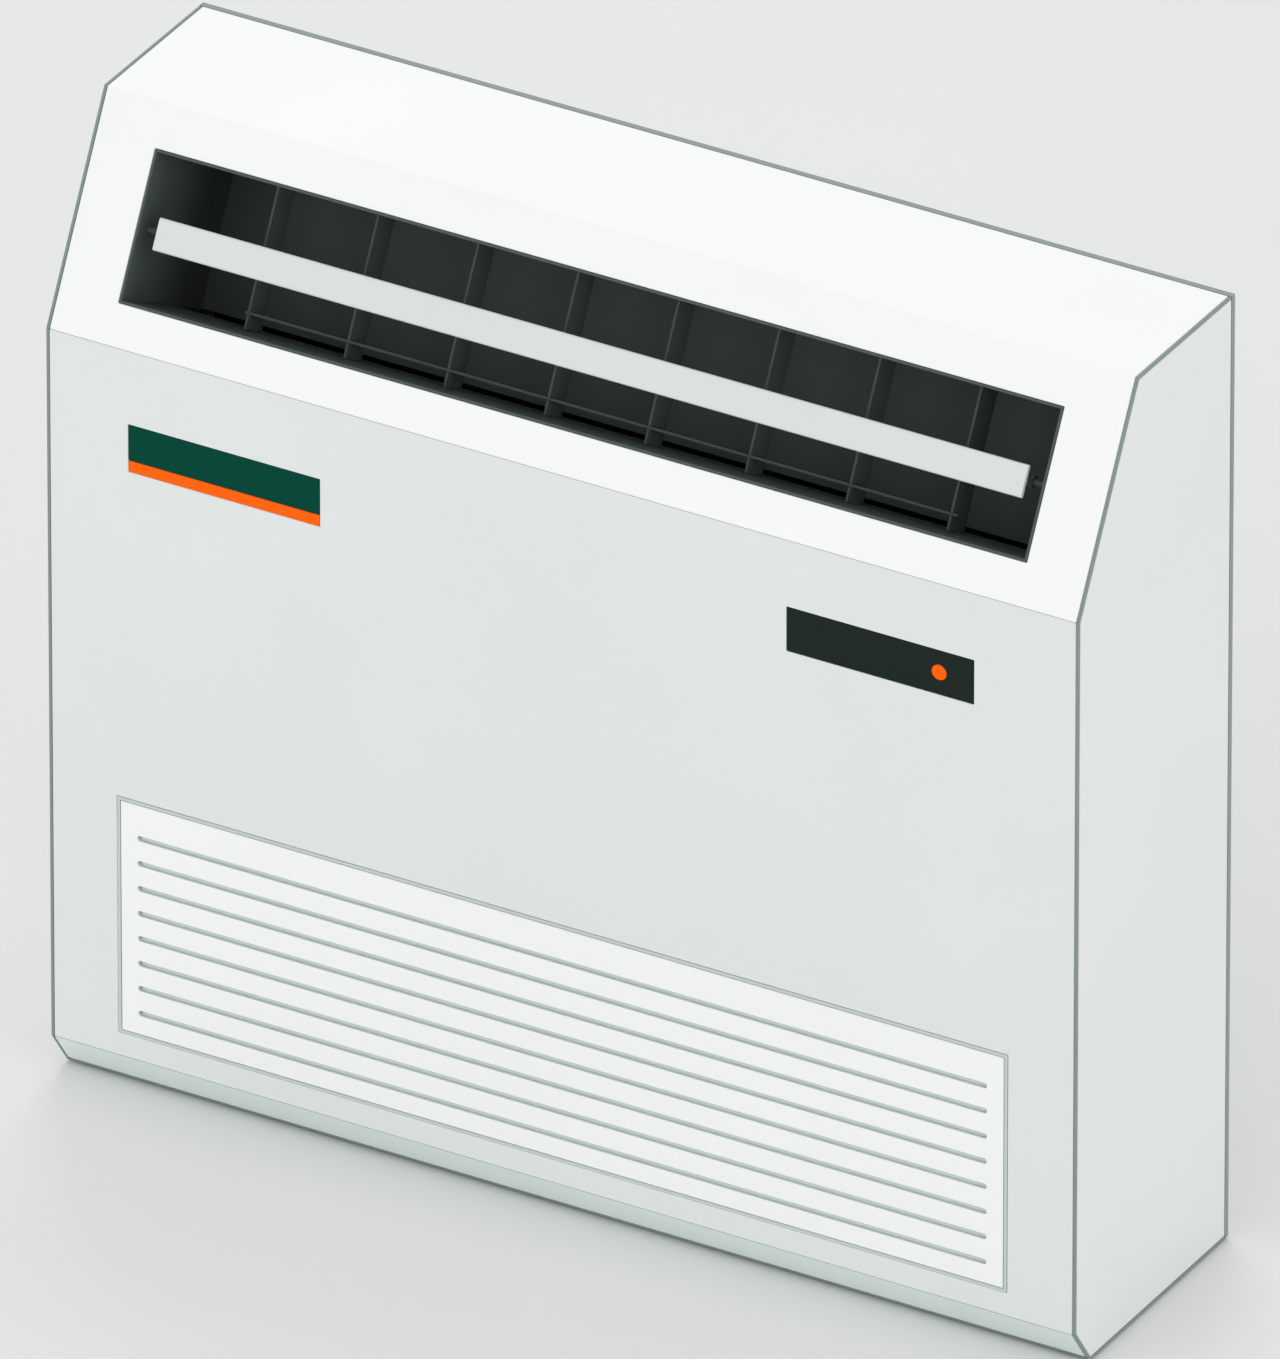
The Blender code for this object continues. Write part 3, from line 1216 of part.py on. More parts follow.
def make_drain_pan():
    """The trough under the coil, with its spout through the deck."""
    low = DECK_Z + DECK_SHEET + GAP
    half = COIL_WIDTH / 2 - GAP
    front = COIL_FOOT_Y - PAN_DEPTH / 2
    back = COIL_FOOT_Y + PAN_DEPTH / 2
    pan = block("drain_pan", (-half, front, low), (half, back, low + PAN_HEIGHT), "fan_plastic")
    spout = rod("pan_spout", (DRAIN_X, COIL_FOOT_Y, low + PAN_WALL / 2),
                (DRAIN_X, COIL_FOOT_Y, low - DRAIN_LENGTH), DRAIN_RADIUS, "fan_plastic",
                cutter=True)
    hollow = block("pan_hollow", (-half + PAN_WALL, front + PAN_WALL, low + PAN_WALL),
                   (half - PAN_WALL, back - PAN_WALL, low + PAN_HEIGHT + PAN_WALL),
                   "fan_plastic", cutter=True)
    bore = rod("spout_bore", (DRAIN_X, COIL_FOOT_Y, low + PAN_HEIGHT),
               (DRAIN_X, COIL_FOOT_Y, low - 2 * DRAIN_LENGTH), DRAIN_RADIUS - PAN_WALL,
               "fan_plastic", cutter=True)
    join(pan, spout)
    cut(pan, hollow, bore)


def make_insulation():
    """The foam behind the outlet and the foam behind the front panel."""
    half = HALF_WIDTH - SIDE_WALL - RIM_DEPTH - GAP
    back = BACK - REAR_SHEET - GAP
    block("rear_insulation", (-half, back - FOAM, FOAM_FOOT), (half, back, FOAM_TOP), "foam")
    front = FRONT + SHELL_WALL + GAP
    low = DECK_Z + DECK_SHEET + GAP
    high = SLOPE_FOOT - PANEL_RETURN
    room_x = WINDOW_WIDTH / 2 + WIDE_GAP + HOUSING_WALL
    room_z = WINDOW_HEIGHT / 2 + WIDE_GAP + HOUSING_WALL
    room = rectangle((WINDOW_X - room_x, WINDOW_Z - room_z),
                     (WINDOW_X + room_x, WINDOW_Z + room_z))
    slab("front_insulation", rectangle((-half, low), (half, high)), FOAM,
         frame_facing_front(front + FOAM), "foam", holes=(room,))


# Control box

def lead_height():
    """Height of the motor's lead where it runs along the deck."""
    return DECK_Z + DECK_SHEET + BOX_SHEET + LEAD_RADIUS + WIDE_GAP


def make_control_box():
    """The steel box at the right, with its lid, board, terminals and capacitor."""
    foot = DECK_Z + DECK_SHEET + GAP
    low = (BOX_X, BOX_Y - BOX_SPAN_Y / 2, foot)
    high = (BOX_X + BOX_SPAN_X, BOX_Y + BOX_SPAN_Y / 2, foot + BOX_SPAN_Z)
    inner_low = tuple(value + BOX_SHEET for value in low)
    inner_high = (high[0] + BOX_SHEET, high[1] - BOX_SHEET, high[2] - BOX_SHEET)
    box = block("control_box", low, high, "steel")
    lead_z = lead_height()
    entry = rod("lead_entry", (low[0] - BOX_SHEET, LEAD_Y, lead_z),
                (inner_low[0] + BOX_SHEET, LEAD_Y, lead_z), LEAD_RADIUS + GAP, "steel",
                SMALL_SIDES, cutter=True)
    cut(box, block("box_hollow", inner_low, inner_high, "steel", cutter=True))
    block("control_lid", (high[0] + GAP, low[1], low[2]),
          (high[0] + GAP + BOX_SHEET, high[1], high[2]), "steel")
    board_x = inner_low[0] + GAP
    board_foot = inner_low[2] + BOX_SPAN_Z * BOARD_SHARE
    board = block("control_board", (board_x, inner_low[1] + GAP, board_foot),
                  (board_x + BOARD_THICKNESS, inner_high[1] - GAP, inner_high[2] - GAP),
                  "board_green")
    size = BOARD_PART_WIDTH / 2
    for number, (across, up) in enumerate(BOARD_PART_PLACES, 1):
        y = inner_low[1] + across * BOX_SPAN_Y
        z = board_foot + up * (inner_high[2] - board_foot)
        join(board, block(f"board_part_{number}",
                          (board_x + BOARD_THICKNESS / 2, y - size, z - size),
                          (board_x + BOARD_PART_HEIGHT, y + size, z + size), "board_green",
                          cutter=True))
    base_x = inner_low[0] + GAP
    block("terminal_block", (base_x, inner_low[1] + GAP, inner_low[2] + GAP),
          (base_x + TERMINAL_DEPTH, inner_low[1] + TERMINAL_LENGTH,
           inner_low[2] + TERMINAL_HEIGHT), "fan_plastic")
    cap_y = inner_high[1] - GAP - CAPACITOR_RADIUS
    cap_x = base_x + CAPACITOR_RADIUS
    cap_z = inner_low[2] + CAPACITOR_RISE
    rod("motor_capacitor", (cap_x, cap_y, cap_z), (cap_x, cap_y, cap_z + CAPACITOR_LENGTH),
        CAPACITOR_RADIUS, "aluminium")
    cut(box, entry)


def make_motor_lead():
    """The motor's lead, from the motor up through the deck and along it to the box."""
    lead_z = lead_height()
    start = SHAFT_Z + math.sqrt(MOTOR_RADIUS ** 2 - (LEAD_Y - SHAFT_Y) ** 2) + LEAD_RADIUS
    rise = Vector((LEAD_X, LEAD_Y, start))
    turn = Vector((LEAD_X, LEAD_Y, lead_z))
    end = Vector((BOX_X + BOX_SHEET, LEAD_Y, lead_z))
    path = [rise]
    bend = LEAD_BEND
    for step in range(BEND_STEPS + 1):
        angle = math.pi / 2 * step / BEND_STEPS
        path.append(turn + Vector((bend - bend * math.cos(angle), 0,
                                   bend * math.sin(angle) - bend)))
    path.append(end)
    tube("motor_lead", [tuple(point) for point in path], LEAD_RADIUS, "rubber", 1)


def build():
    """Make every piece, from the casing inwards."""
    clear_scene()
    make_base()
    make_rear_plate()
    make_cable_gland()
    make_sides()
    make_top_cover()
    make_front_panel()
    make_badge()
    make_display()
    make_grille()
    make_filters()
    make_outlet_duct()
    make_flap()
    make_vanes()
    make_scrolls()
    make_rotor()
    make_motor()
    make_deck()
    make_coil()
    make_drain_pan()
    make_insulation()
    make_control_box()
    make_motor_lead()


build()
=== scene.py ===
"""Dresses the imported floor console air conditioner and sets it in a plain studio.

Each sub-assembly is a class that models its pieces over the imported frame, gives them their
finish and sets them on the body that carries them.
"""
import json
import logging
import math
from dataclasses import dataclass
from enum import Enum
from typing import Callable, Iterable, Sequence

import bmesh
import bpy
from mathutils import Matrix, Vector


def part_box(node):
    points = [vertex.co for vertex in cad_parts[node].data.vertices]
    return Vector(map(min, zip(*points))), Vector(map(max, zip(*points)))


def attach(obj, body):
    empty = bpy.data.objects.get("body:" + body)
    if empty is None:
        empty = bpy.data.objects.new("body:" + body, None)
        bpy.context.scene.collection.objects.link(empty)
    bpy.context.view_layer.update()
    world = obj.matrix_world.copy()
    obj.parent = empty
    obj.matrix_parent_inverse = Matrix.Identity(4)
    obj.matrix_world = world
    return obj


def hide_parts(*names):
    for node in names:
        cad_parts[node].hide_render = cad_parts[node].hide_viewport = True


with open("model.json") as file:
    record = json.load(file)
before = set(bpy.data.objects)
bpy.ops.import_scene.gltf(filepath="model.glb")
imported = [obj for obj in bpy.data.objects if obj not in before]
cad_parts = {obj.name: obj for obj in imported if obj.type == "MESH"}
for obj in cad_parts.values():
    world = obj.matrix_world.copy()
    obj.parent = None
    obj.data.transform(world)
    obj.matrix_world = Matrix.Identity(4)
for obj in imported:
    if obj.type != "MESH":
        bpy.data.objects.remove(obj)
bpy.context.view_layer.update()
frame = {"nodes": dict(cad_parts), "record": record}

LOG = logging.getLogger("floor_console")
Colour = tuple[float, float, float]
Point = tuple[float, float, float]
Inputs = dict[str | int, object]
Socket = bpy.types.NodeSocket
PATTERN_LOW = 0.3
PATTERN_HIGH = 0.7
SEAM = 0.00002
FLAT_ANGLE = 1.0
BOARD_CAN = ((0.0030, -0.0001), (0.0030, 0.0056), (0.0026, 0.0062), (0.0010, 0.0060))
MOTOR_VENT = ((0.0030, -0.0010), (0.0030, 0.0004), (0.0026, 0.0008), (0.0014, 0.0008),
              (0.0010, -0.0004))
SCREW_RISE = 0.45
SCREW_HEAD = ((1.0, -1.0), (1.0, 0.35), (0.94, 0.70), (0.80, 0.92), (0.62, 1.0))
SCREW_RECESS = ((0.55, 1.0), (0.45, 0.05))


class Body(Enum):
    """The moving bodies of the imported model."""

    CASING = "casing"
    ROTOR = "fan_rotor"
    FLAP = "flap"
    GRILLE = "grille"
    LEFT_FILTER = "left_filter"
    RIGHT_FILTER = "right_filter"
    BUTTON = "button"


class Grain(Enum):
    """How a moulded or painted surface is textured: feature size in metres and bump height."""

    SATIN = (0.00045, 0.020)
    FINE = (0.00080, 0.035)
    COARSE = (0.00160, 0.080)
    ORANGE_PEEL = (0.00250, 0.030)


class NodeGraph:
    """A material's node tree, with short calls to add and join nodes."""

    def __init__(self, name: str) -> None:
        """Start a material with its shader and its object coordinates.

        Args:
            name: the material's name.
        """
        self.material = bpy.data.materials.new(name)
        self.material.use_nodes = True
        self.tree = self.material.node_tree
        self.shader = self.tree.nodes["Principled BSDF"]
        self.place = self.add("ShaderNodeTexCoord").outputs["Object"]

    def feed(self, node: bpy.types.Node, inputs: Inputs) -> None:
        """Set a node's inputs.

        Args:
            node: the node to feed.
            inputs: by name or number, a plain value to set or an output to join.
        """
        for key, value in inputs.items():
            if isinstance(value, Socket):
                self.tree.links.new(value, node.inputs[key])
            else:
                node.inputs[key].default_value = value

    def add(self, kind: str, inputs: Inputs | None = None, **settings: object) -> bpy.types.Node:
        """Add a node.

        Args:
            kind: the node's type name.
            inputs: what its inputs are fed.
            settings: the node's own properties, by name.

        Returns:
            The new node.
        """
        node = self.tree.nodes.new(kind)
        for key, value in settings.items():
            setattr(node, key, value)
        self.feed(node, inputs or {})
        return node

    def noise(self, size: float, detail: float = 2.0) -> Socket:
        """Add a noise pattern.

        Args:
            size: about how large its features are, in metres.
            detail: how many finer layers it has.

        Returns:
            The pattern, from 0 to 1.
        """
        return self.add("ShaderNodeTexNoise", {
            "Scale": 1.0 / size, "Detail": detail, "Vector": self.place}).outputs["Fac"]

    def remap(self, value: Socket, low: float, high: float) -> Socket:
        """Spread the middle of a pattern between two values.

        Args:
            value: the pattern, from 0 to 1.
            low: what its lower part becomes.
            high: what its upper part becomes.

        Returns:
            The spread values.
        """
        return self.add("ShaderNodeMapRange", {
            "Value": value, "From Min": PATTERN_LOW, "From Max": PATTERN_HIGH,
            "To Min": low, "To Max": high}).outputs["Result"]

    def tint(self, factor: Socket, first: Colour, second: Colour) -> None:
        """Give the surface a colour that varies with a pattern.

        Args:
            factor: the pattern, from 0 to 1.
            first: the colour where the pattern is 0.
            second: the colour where the pattern is 1.
        """
        node = self.add("ShaderNodeMix", {
            "Factor": factor, "A": (*first, 1.0), "B": (*second, 1.0)}, data_type="RGBA")
        self.feed(self.shader, {"Base Color": node.outputs["Result"]})

    def bump(self, height: Socket, strength: float, distance: float) -> None:
        """Raise the surface by a pattern.

        Args:
            height: the pattern, from 0 to 1.
            strength: how strongly it shows.
            distance: how high it stands, in metres.
        """
        node = self.add("ShaderNodeBump", {
            "Height": height, "Strength": strength, "Distance": distance})
        self.feed(self.shader, {"Normal": node.outputs["Normal"]})


def shade(colour: Colour, factor: float) -> Colour:
    """The colour made lighter or darker by a factor, kept within its range."""
    return tuple(min(1.0, channel * factor) for channel in colour)


@dataclass(frozen=True)
class Finish:
    """A named surface in one colour; each kind lays its own pattern on it."""

    name: str
    colour: Colour

    def build(self) -> bpy.types.Material:
        """Make the material.

        Returns:
            The material with its nodes.
        """
        graph = NodeGraph(self.name)
        self.paint(graph)
        return graph.material

    def paint(self, graph: NodeGraph) -> None:
        """Lay the surface's pattern; every kind of finish has its own."""
        raise NotImplementedError(type(self).__name__)


@dataclass(frozen=True)
class Plastic(Finish):
    """Moulded or painted surface: a grain, faint blotches and an uneven gloss."""

    roughness: float
    grain: Grain = Grain.FINE
    blotch: float = 0.015
    gloss: float = 0.45
    cloud_size: float = 0.16
    smear_size: float = 0.045
    smear: float = 0.05

    def paint(self, graph: NodeGraph) -> None:
        """Lay the blotches, the uneven gloss and the grain.

        Args:
            graph: the material's node tree.
        """
        size, height = self.grain.value
        graph.tint(graph.remap(graph.noise(self.cloud_size, 3.0), 0.0, 1.0),
                   shade(self.colour, 1.0 - self.blotch),
                   shade(self.colour, 1.0 + self.blotch / 2))
        graph.feed(graph.shader, {
            "Roughness": graph.remap(graph.noise(self.smear_size, 4.0),
                                     self.roughness - self.smear, self.roughness + self.smear),
            "Specular IOR Level": self.gloss})
        graph.bump(graph.noise(size), height, size / 4)


@dataclass(frozen=True)
class Metal(Finish):
    """Bare or plated metal with fine streaks along one axis."""

    roughness: float
    streak: tuple[float, float, float] = (0.004, 0.0006, 0.0006)
    dark: float = 0.88
    bright: float = 1.06
    smear: float = 0.08

    def paint(self, graph: NodeGraph) -> None:
        """Lay the streaks.

        Args:
            graph: the material's node tree.
        """
        mapping = graph.add("ShaderNodeMapping", {
            "Vector": graph.place, "Scale": tuple(1.0 / size for size in self.streak)})
        streaks = graph.add("ShaderNodeTexNoise", {
            "Vector": mapping.outputs["Vector"], "Scale": 1.0, "Detail": 3.0}).outputs["Fac"]
        graph.tint(graph.remap(streaks, 0.0, 1.0), shade(self.colour, self.dark),
                   shade(self.colour, self.bright))
        graph.feed(graph.shader, {
            "Roughness": graph.remap(streaks, self.roughness - self.smear,
                                     self.roughness + self.smear),
            "Metallic": 1.0})
        graph.bump(streaks, 0.06, 0.0002)


@dataclass(frozen=True)
class Woven(Finish):
    """A fine filter net: two sets of crossing threads, with painted shade between them."""

    pitch: float = 0.0011
    painted_gap_shade: float = 0.45

    def paint(self, graph: NodeGraph) -> None:
        """Lay the threads.

        Args:
            graph: the material's node tree.
        """
        scale = 1.0 / (self.pitch * math.tau / 2 * 3)
        waves = [graph.add("ShaderNodeTexWave", {"Vector": graph.place, "Scale": scale},
                           bands_direction=axis).outputs["Fac"] for axis in ("X", "Z")]
        threads = graph.add("ShaderNodeMath", {0: waves[0], 1: waves[1]},
                            operation="MAXIMUM").outputs["Value"]
        # painted shade: the colour is darker between the threads, in the gaps of the net
        graph.tint(threads, shade(self.colour, self.painted_gap_shade), self.colour)
        graph.feed(graph.shader, {"Roughness": 0.85})
        graph.bump(threads, 0.5, 0.0003)


@dataclass(frozen=True)
class Foam(Finish):
    """Closed-cell foam with an open, pitted skin."""

    cells: float = 500.0
    cloud_size: float = 0.03
    blotch: float = 0.2

    def paint(self, graph: NodeGraph) -> None:
        """Lay the pits and the blotches.

        Args:
            graph: the material's node tree.
        """
        pits = graph.add("ShaderNodeTexVoronoi", {"Vector": graph.place, "Scale": self.cells})
        graph.tint(graph.noise(self.cloud_size), shade(self.colour, 1.0 - self.blotch),
                   shade(self.colour, 1.0 + self.blotch))
        graph.feed(graph.shader, {"Roughness": 0.95})
        graph.bump(pits.outputs["Distance"], 0.4, 0.0006)


@dataclass(frozen=True)
class Lacquer(Finish):
    """A circuit board's lacquer, with traces as faint lines under it."""

    traces: float = 120.0
    patch: float = 0.8
    trace: float = 2.2

    def paint(self, graph: NodeGraph) -> None:
        """Lay the patches and the traces between them.

        Args:
            graph: the material's node tree.
        """
        bricks = graph.add("ShaderNodeTexBrick", {
            "Vector": graph.place, "Scale": self.traces, "Mortar Size": 0.04,
            "Color1": (*self.colour, 1.0), "Color2": (*shade(self.colour, self.patch), 1.0),
            "Mortar": (*shade(self.colour, self.trace), 1.0)})
        graph.feed(graph.shader, {"Base Color": bricks.outputs["Color"], "Roughness": 0.35})
        graph.bump(bricks.outputs["Fac"], 0.1, 0.0002)


FINISHES = {finish.name: finish for finish in (
    Plastic("shell_white", (0.880, 0.895, 0.890), 0.42, Grain.FINE),
    Plastic("front_grey", (0.745, 0.775, 0.768), 0.45, Grain.ORANGE_PEEL),
    Plastic("edge_grey", (0.215, 0.275, 0.260), 0.60, Grain.SATIN),
    # kick_grey is partly the kick strip's own grey and partly painted shade: it is darkened for
    # the downward-facing chamfer, and it is also painted shade on the grille's slot walls and on
    # the louvres behind them.
    Plastic("kick_grey", (0.735, 0.815, 0.778), 0.50, Grain.FINE),
    Plastic("trim_grey", (0.545, 0.620, 0.592), 0.55, Grain.SATIN),
    Plastic("sheet_grey", (0.240, 0.290, 0.280), 0.50, Grain.ORANGE_PEEL),
    # duct_dark is partly the duct's dark moulding and partly painted shade for the inside of the
    # outlet; the flap's arms and pins take it too.
    Plastic("duct_dark", (0.083, 0.105, 0.098), 0.80, Grain.FINE, gloss=0.10),
    Plastic("flap_grey", (0.665, 0.710, 0.700), 0.45, Grain.SATIN),
    Plastic("badge_green", (0.001, 0.060, 0.038), 0.55, Grain.SATIN, gloss=0.03),
    Plastic("badge_orange", (1.000, 0.130, 0.002), 0.50, Grain.SATIN,
            gloss=0.06),
    Plastic("window_dark", (0.008, 0.017, 0.013), 0.22, Grain.SATIN,
            gloss=0.10),
    Plastic("grille_white", (0.895, 0.915, 0.905), 0.45, Grain.FINE),
    Woven("filter_grey", (0.46, 0.50, 0.49)),
    Plastic("fan_plastic", (0.055, 0.060, 0.065), 0.60, Grain.COARSE),
    Metal("steel", (0.560, 0.570, 0.580), 0.38),
    Metal("aluminium", (0.700, 0.715, 0.725), 0.40, (0.0006, 0.004, 0.004)),
    Metal("copper", (0.720, 0.330, 0.180), 0.32),
    Metal("brass", (0.700, 0.520, 0.220), 0.30),
    Lacquer("board_green", (0.020, 0.120, 0.050)),
    Plastic("rubber", (0.028, 0.029, 0.030), 0.85, Grain.COARSE, gloss=0.3),
    Foam("foam", (0.045, 0.047, 0.048)),
)}
FLOOR_PAINT = Plastic("floor_paint", (0.78, 0.79, 0.79), 0.75, Grain.COARSE, blotch=0.004,
                      gloss=0.2)


class Palette:
    """Builds each finish once, when a piece first asks for it."""

    def __init__(self) -> None:
        """Start with no material made."""
        self.made: dict[str, bpy.types.Material] = {}

    def get(self, slot: str) -> bpy.types.Material:
        """The material of a record slot."""
        if slot not in self.made:
            self.made[slot] = FINISHES[slot].build()
        return self.made[slot]


PALETTE = Palette()
SLOT_OF = {row["node"]: row["material_slot"] for row in frame["record"]["subparts"]}
BODY_OF = {node: body for body, nodes in frame["record"]["behaviour"]["bodies"].items()
           for node in nodes}


def measure(node: str) -> tuple[Vector, Vector, Vector, Vector]:
    """A node's lowest and highest corners, its middle and its size."""
    low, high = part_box(node)
    return low, high, (low + high) / 2, high - low


def along(origin: Sequence[float], axis: Sequence[float]) -> Matrix:
    """A frame at origin whose Z runs along axis."""
    turn = Vector((0, 0, 1)).rotation_difference(Vector(axis).normalized())
    return Matrix.Translation(origin) @ turn.to_matrix().to_4x4()


def ring(height: float, reach: Callable[[float], float], sides: int) -> list[Point]:
    """Lay a ring of points round the Z axis.

    Args:
        height: where the ring lies along the axis.
        reach: how far a point is from the axis, by its angle.
        sides: the number of points.

    Returns:
        The points, anticlockwise.
    """
    points = []
    for step in range(sides):
        angle = math.tau * step / sides
        radius = reach(angle)
        points.append((radius * math.cos(angle), radius * math.sin(angle), height))
    return points


def round_ring(radius: float, height: float, sides: int = 32) -> list[Point]:
    """A circle of points at a height."""
    return ring(height, lambda angle: radius, sides)


def hex_ring(flats: float, height: float, sides: int = 36) -> list[Point]:
    """A hexagon of points at a height, as far across its flats as given."""
    return ring(height, lambda angle: flats / 2 / math.cos(
        (angle + math.pi / 6) % (math.pi / 3) - math.pi / 6), sides)


def cross_ring(radius: float, height: float, sides: int = 32) -> list[Point]:
    """A cross-shaped ring of points at a height, for the recess of a screw."""
    return ring(height, lambda angle: radius * (
        0.42 + 0.58 * max(0.0, math.cos(4 * angle)) ** 0.5), sides)


class Solid:
    """A shape that is being modelled, with the steps that several sub-assemblies share."""

    def __init__(self, node: str = "") -> None:
        """Start empty, or as a copy of a node with its loose triangles merged.

        Args:
            node: the node to copy, if any.
        """
        self.mesh = bmesh.new()
        if node:
            self.mesh.from_mesh(frame["nodes"][node].data)
            bmesh.ops.remove_doubles(self.mesh, verts=self.mesh.verts, dist=SEAM)
            bmesh.ops.dissolve_limit(self.mesh, angle_limit=math.radians(FLAT_ANGLE),
                                     verts=self.mesh.verts, edges=self.mesh.edges,
                                     use_dissolve_boundaries=False)

    def bevel(self, edges: Iterable[bmesh.types.BMEdge], width: float, segments: int = 2
              ) -> None:
        """Round the given edges.

        Args:
            edges: the edges to round.
            width: how far the bevel reaches from each edge.
            segments: the number of faces across it.
        """
        bmesh.ops.bevel(self.mesh, geom=list(edges), offset=width, offset_type="OFFSET",
                        segments=segments, profile=0.5, affect="EDGES", material=-1,
                        clamp_overlap=True)

    def round_edges(self, width: float, segments: int = 2, angle: float = 30.0) -> None:
        """Round all the sharp edges.

        Args:
            width: how far the bevel reaches from each edge.
            segments: the number of faces across it.
            angle: the least angle between faces that counts as sharp, in degrees.
        """
        self.bevel([edge for edge in self.mesh.edges if len(edge.link_faces) == 2
                    and edge.calc_face_angle() > math.radians(angle)], width, segments)

    def block(self, low: Sequence[float], high: Sequence[float], bevel: float,
              matrix: Matrix | None = None) -> None:
        """Add a box with rounded edges.

        Args:
            low: its lowest corner.
            high: its highest corner.
            bevel: how far the rounding reaches from each edge.
            matrix: the frame that the corners are in, if not the shape's own.
        """
        size = [b - a for a, b in zip(low, high)]
        centre = [(a + b) / 2 for a, b in zip(low, high)]
        place = (matrix or Matrix.Identity(4)) @ Matrix.Translation(centre)
        made = bmesh.ops.create_cube(self.mesh, size=1.0,
                                     matrix=place @ Matrix.Diagonal((*size, 1)))
        self.bevel({edge for vert in made["verts"] for edge in vert.link_edges}, bevel)

    def rod(self, start: Sequence[float], end: Sequence[float], radius: float, sides: int
            ) -> None:
        """Add a cylinder.

        Args:
            start: the middle of its first end.
            end: the middle of its other end.
            radius: its radius.
            sides: how many sides it has.
        """
        axis = Vector(end) - Vector(start)
        bmesh.ops.create_cone(self.mesh, cap_ends=True, segments=sides, radius1=radius,
                              radius2=radius, depth=axis.length,
                              matrix=along(Vector(start) + axis / 2, axis))

    def stack(self, rings: Sequence[Sequence[Point]], place: Matrix, bored: bool = False
              ) -> None:
        """Skin a pile of equal rings, and close its ends.

        Args:
            rings: the rings from the first end to the last, each with as many points.
            place: the frame that the rings are in.
            bored: whether the last ring is joined to the first, and not capped.
        """
        loops = [[self.mesh.verts.new(place @ Vector(point)) for point in ring]
                 for ring in rings]
        count = len(loops[0])
        if bored:
            loops.append(loops[0])
        for low, high in zip(loops, loops[1:]):
            for step in range(count):
                after = (step + 1) % count
                self.mesh.faces.new((low[step], low[after], high[after], high[step]))
        if not bored:
            self.mesh.faces.new(list(reversed(loops[0])))
            self.mesh.faces.new(loops[-1])

    def lathe(self, profile: Sequence[tuple[float, float]], place: Matrix, sides: int,
              bored: bool = False) -> None:
        """Add a solid of revolution.

        Args:
            profile: the radius and height of each ring, from the first end to the last.
            place: the frame whose Z is the axis.
            sides: how many sides a ring has.
            bored: whether the last ring is joined to the first, and not capped.
        """
        self.stack([round_ring(radius, height, sides) for radius, height in profile], place,
                   bored)

    def screw(self, origin: Sequence[float], axis: Sequence[float], radius: float) -> None:
        """Add a pan-head screw with a cross recess.

        Args:
            origin: where its head stands.
            axis: the way its head faces.
            radius: the head's radius.
        """
        rise = radius * SCREW_RISE
        rings = [round_ring(radius * width, rise * height) for width, height in SCREW_HEAD]
        rings += [cross_ring(radius * width, rise * height) for width, height in SCREW_RECESS]
        self.stack(rings, along(origin, axis))


@dataclass
class Piece:
    """One finished piece: its mesh, its body, its slot and the nodes it stands for."""

    name: str
    slot: str
    stands_for: tuple[str, ...] = ()
    body: Body | str = Body.CASING
    smooth_angle: float = 35.0

    def finish(self, shape: Solid) -> bpy.types.Object:
        """Turn a solid into the piece, dressed and riding on its body.

        Args:
            shape: the finished solid, in the frame's own metres; its bmesh is freed here.

        Returns:
            The new object.
        """
        body = self.body.value if isinstance(self.body, Body) else self.body
        mesh = bpy.data.meshes.new(self.name)
        shape.mesh.to_mesh(mesh)
        shape.mesh.free()
        mesh.shade_smooth()
        mesh.set_sharp_from_angle(angle=math.radians(self.smooth_angle))
        mesh.materials.append(PALETTE.get(self.slot))
        thing = bpy.data.objects.new(self.name, mesh)
        bpy.context.scene.collection.objects.link(thing)
        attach(thing, body)
        thing.modifiers.new("weighted_normals", "WEIGHTED_NORMAL").keep_sharp = True
        if self.stands_for:
            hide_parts(*self.stands_for)
        LOG.info("%s: %d faces on %s", self.name, len(mesh.polygons), body)
        return thing


def refine(nodes: Iterable[str], width: float, segments: int = 2, angle: float = 30.0) -> None:
    """Replace each named node by a copy with rounded edges.

    Args:
        nodes: the nodes' names.
        width: the bevel's width in metres.
        segments: the number of faces across each bevel.
        angle: the least angle that counts as sharp, in degrees.
    """
    for node in nodes:
        shape = Solid(node)
        shape.round_edges(width, segments, angle)
        Piece(node + "_shell", SLOT_OF[node], (node,), BODY_OF[node]).finish(shape)


def dress(nodes: Iterable[str]) -> None:
    """Give each named node the procedural finish of its own slot."""
    for node in nodes:
        materials = frame["nodes"][node].data.materials
        materials.clear()
        materials.append(PALETTE.get(SLOT_OF[node]))
        LOG.info("%s: dressed on %s", node, BODY_OF[node])


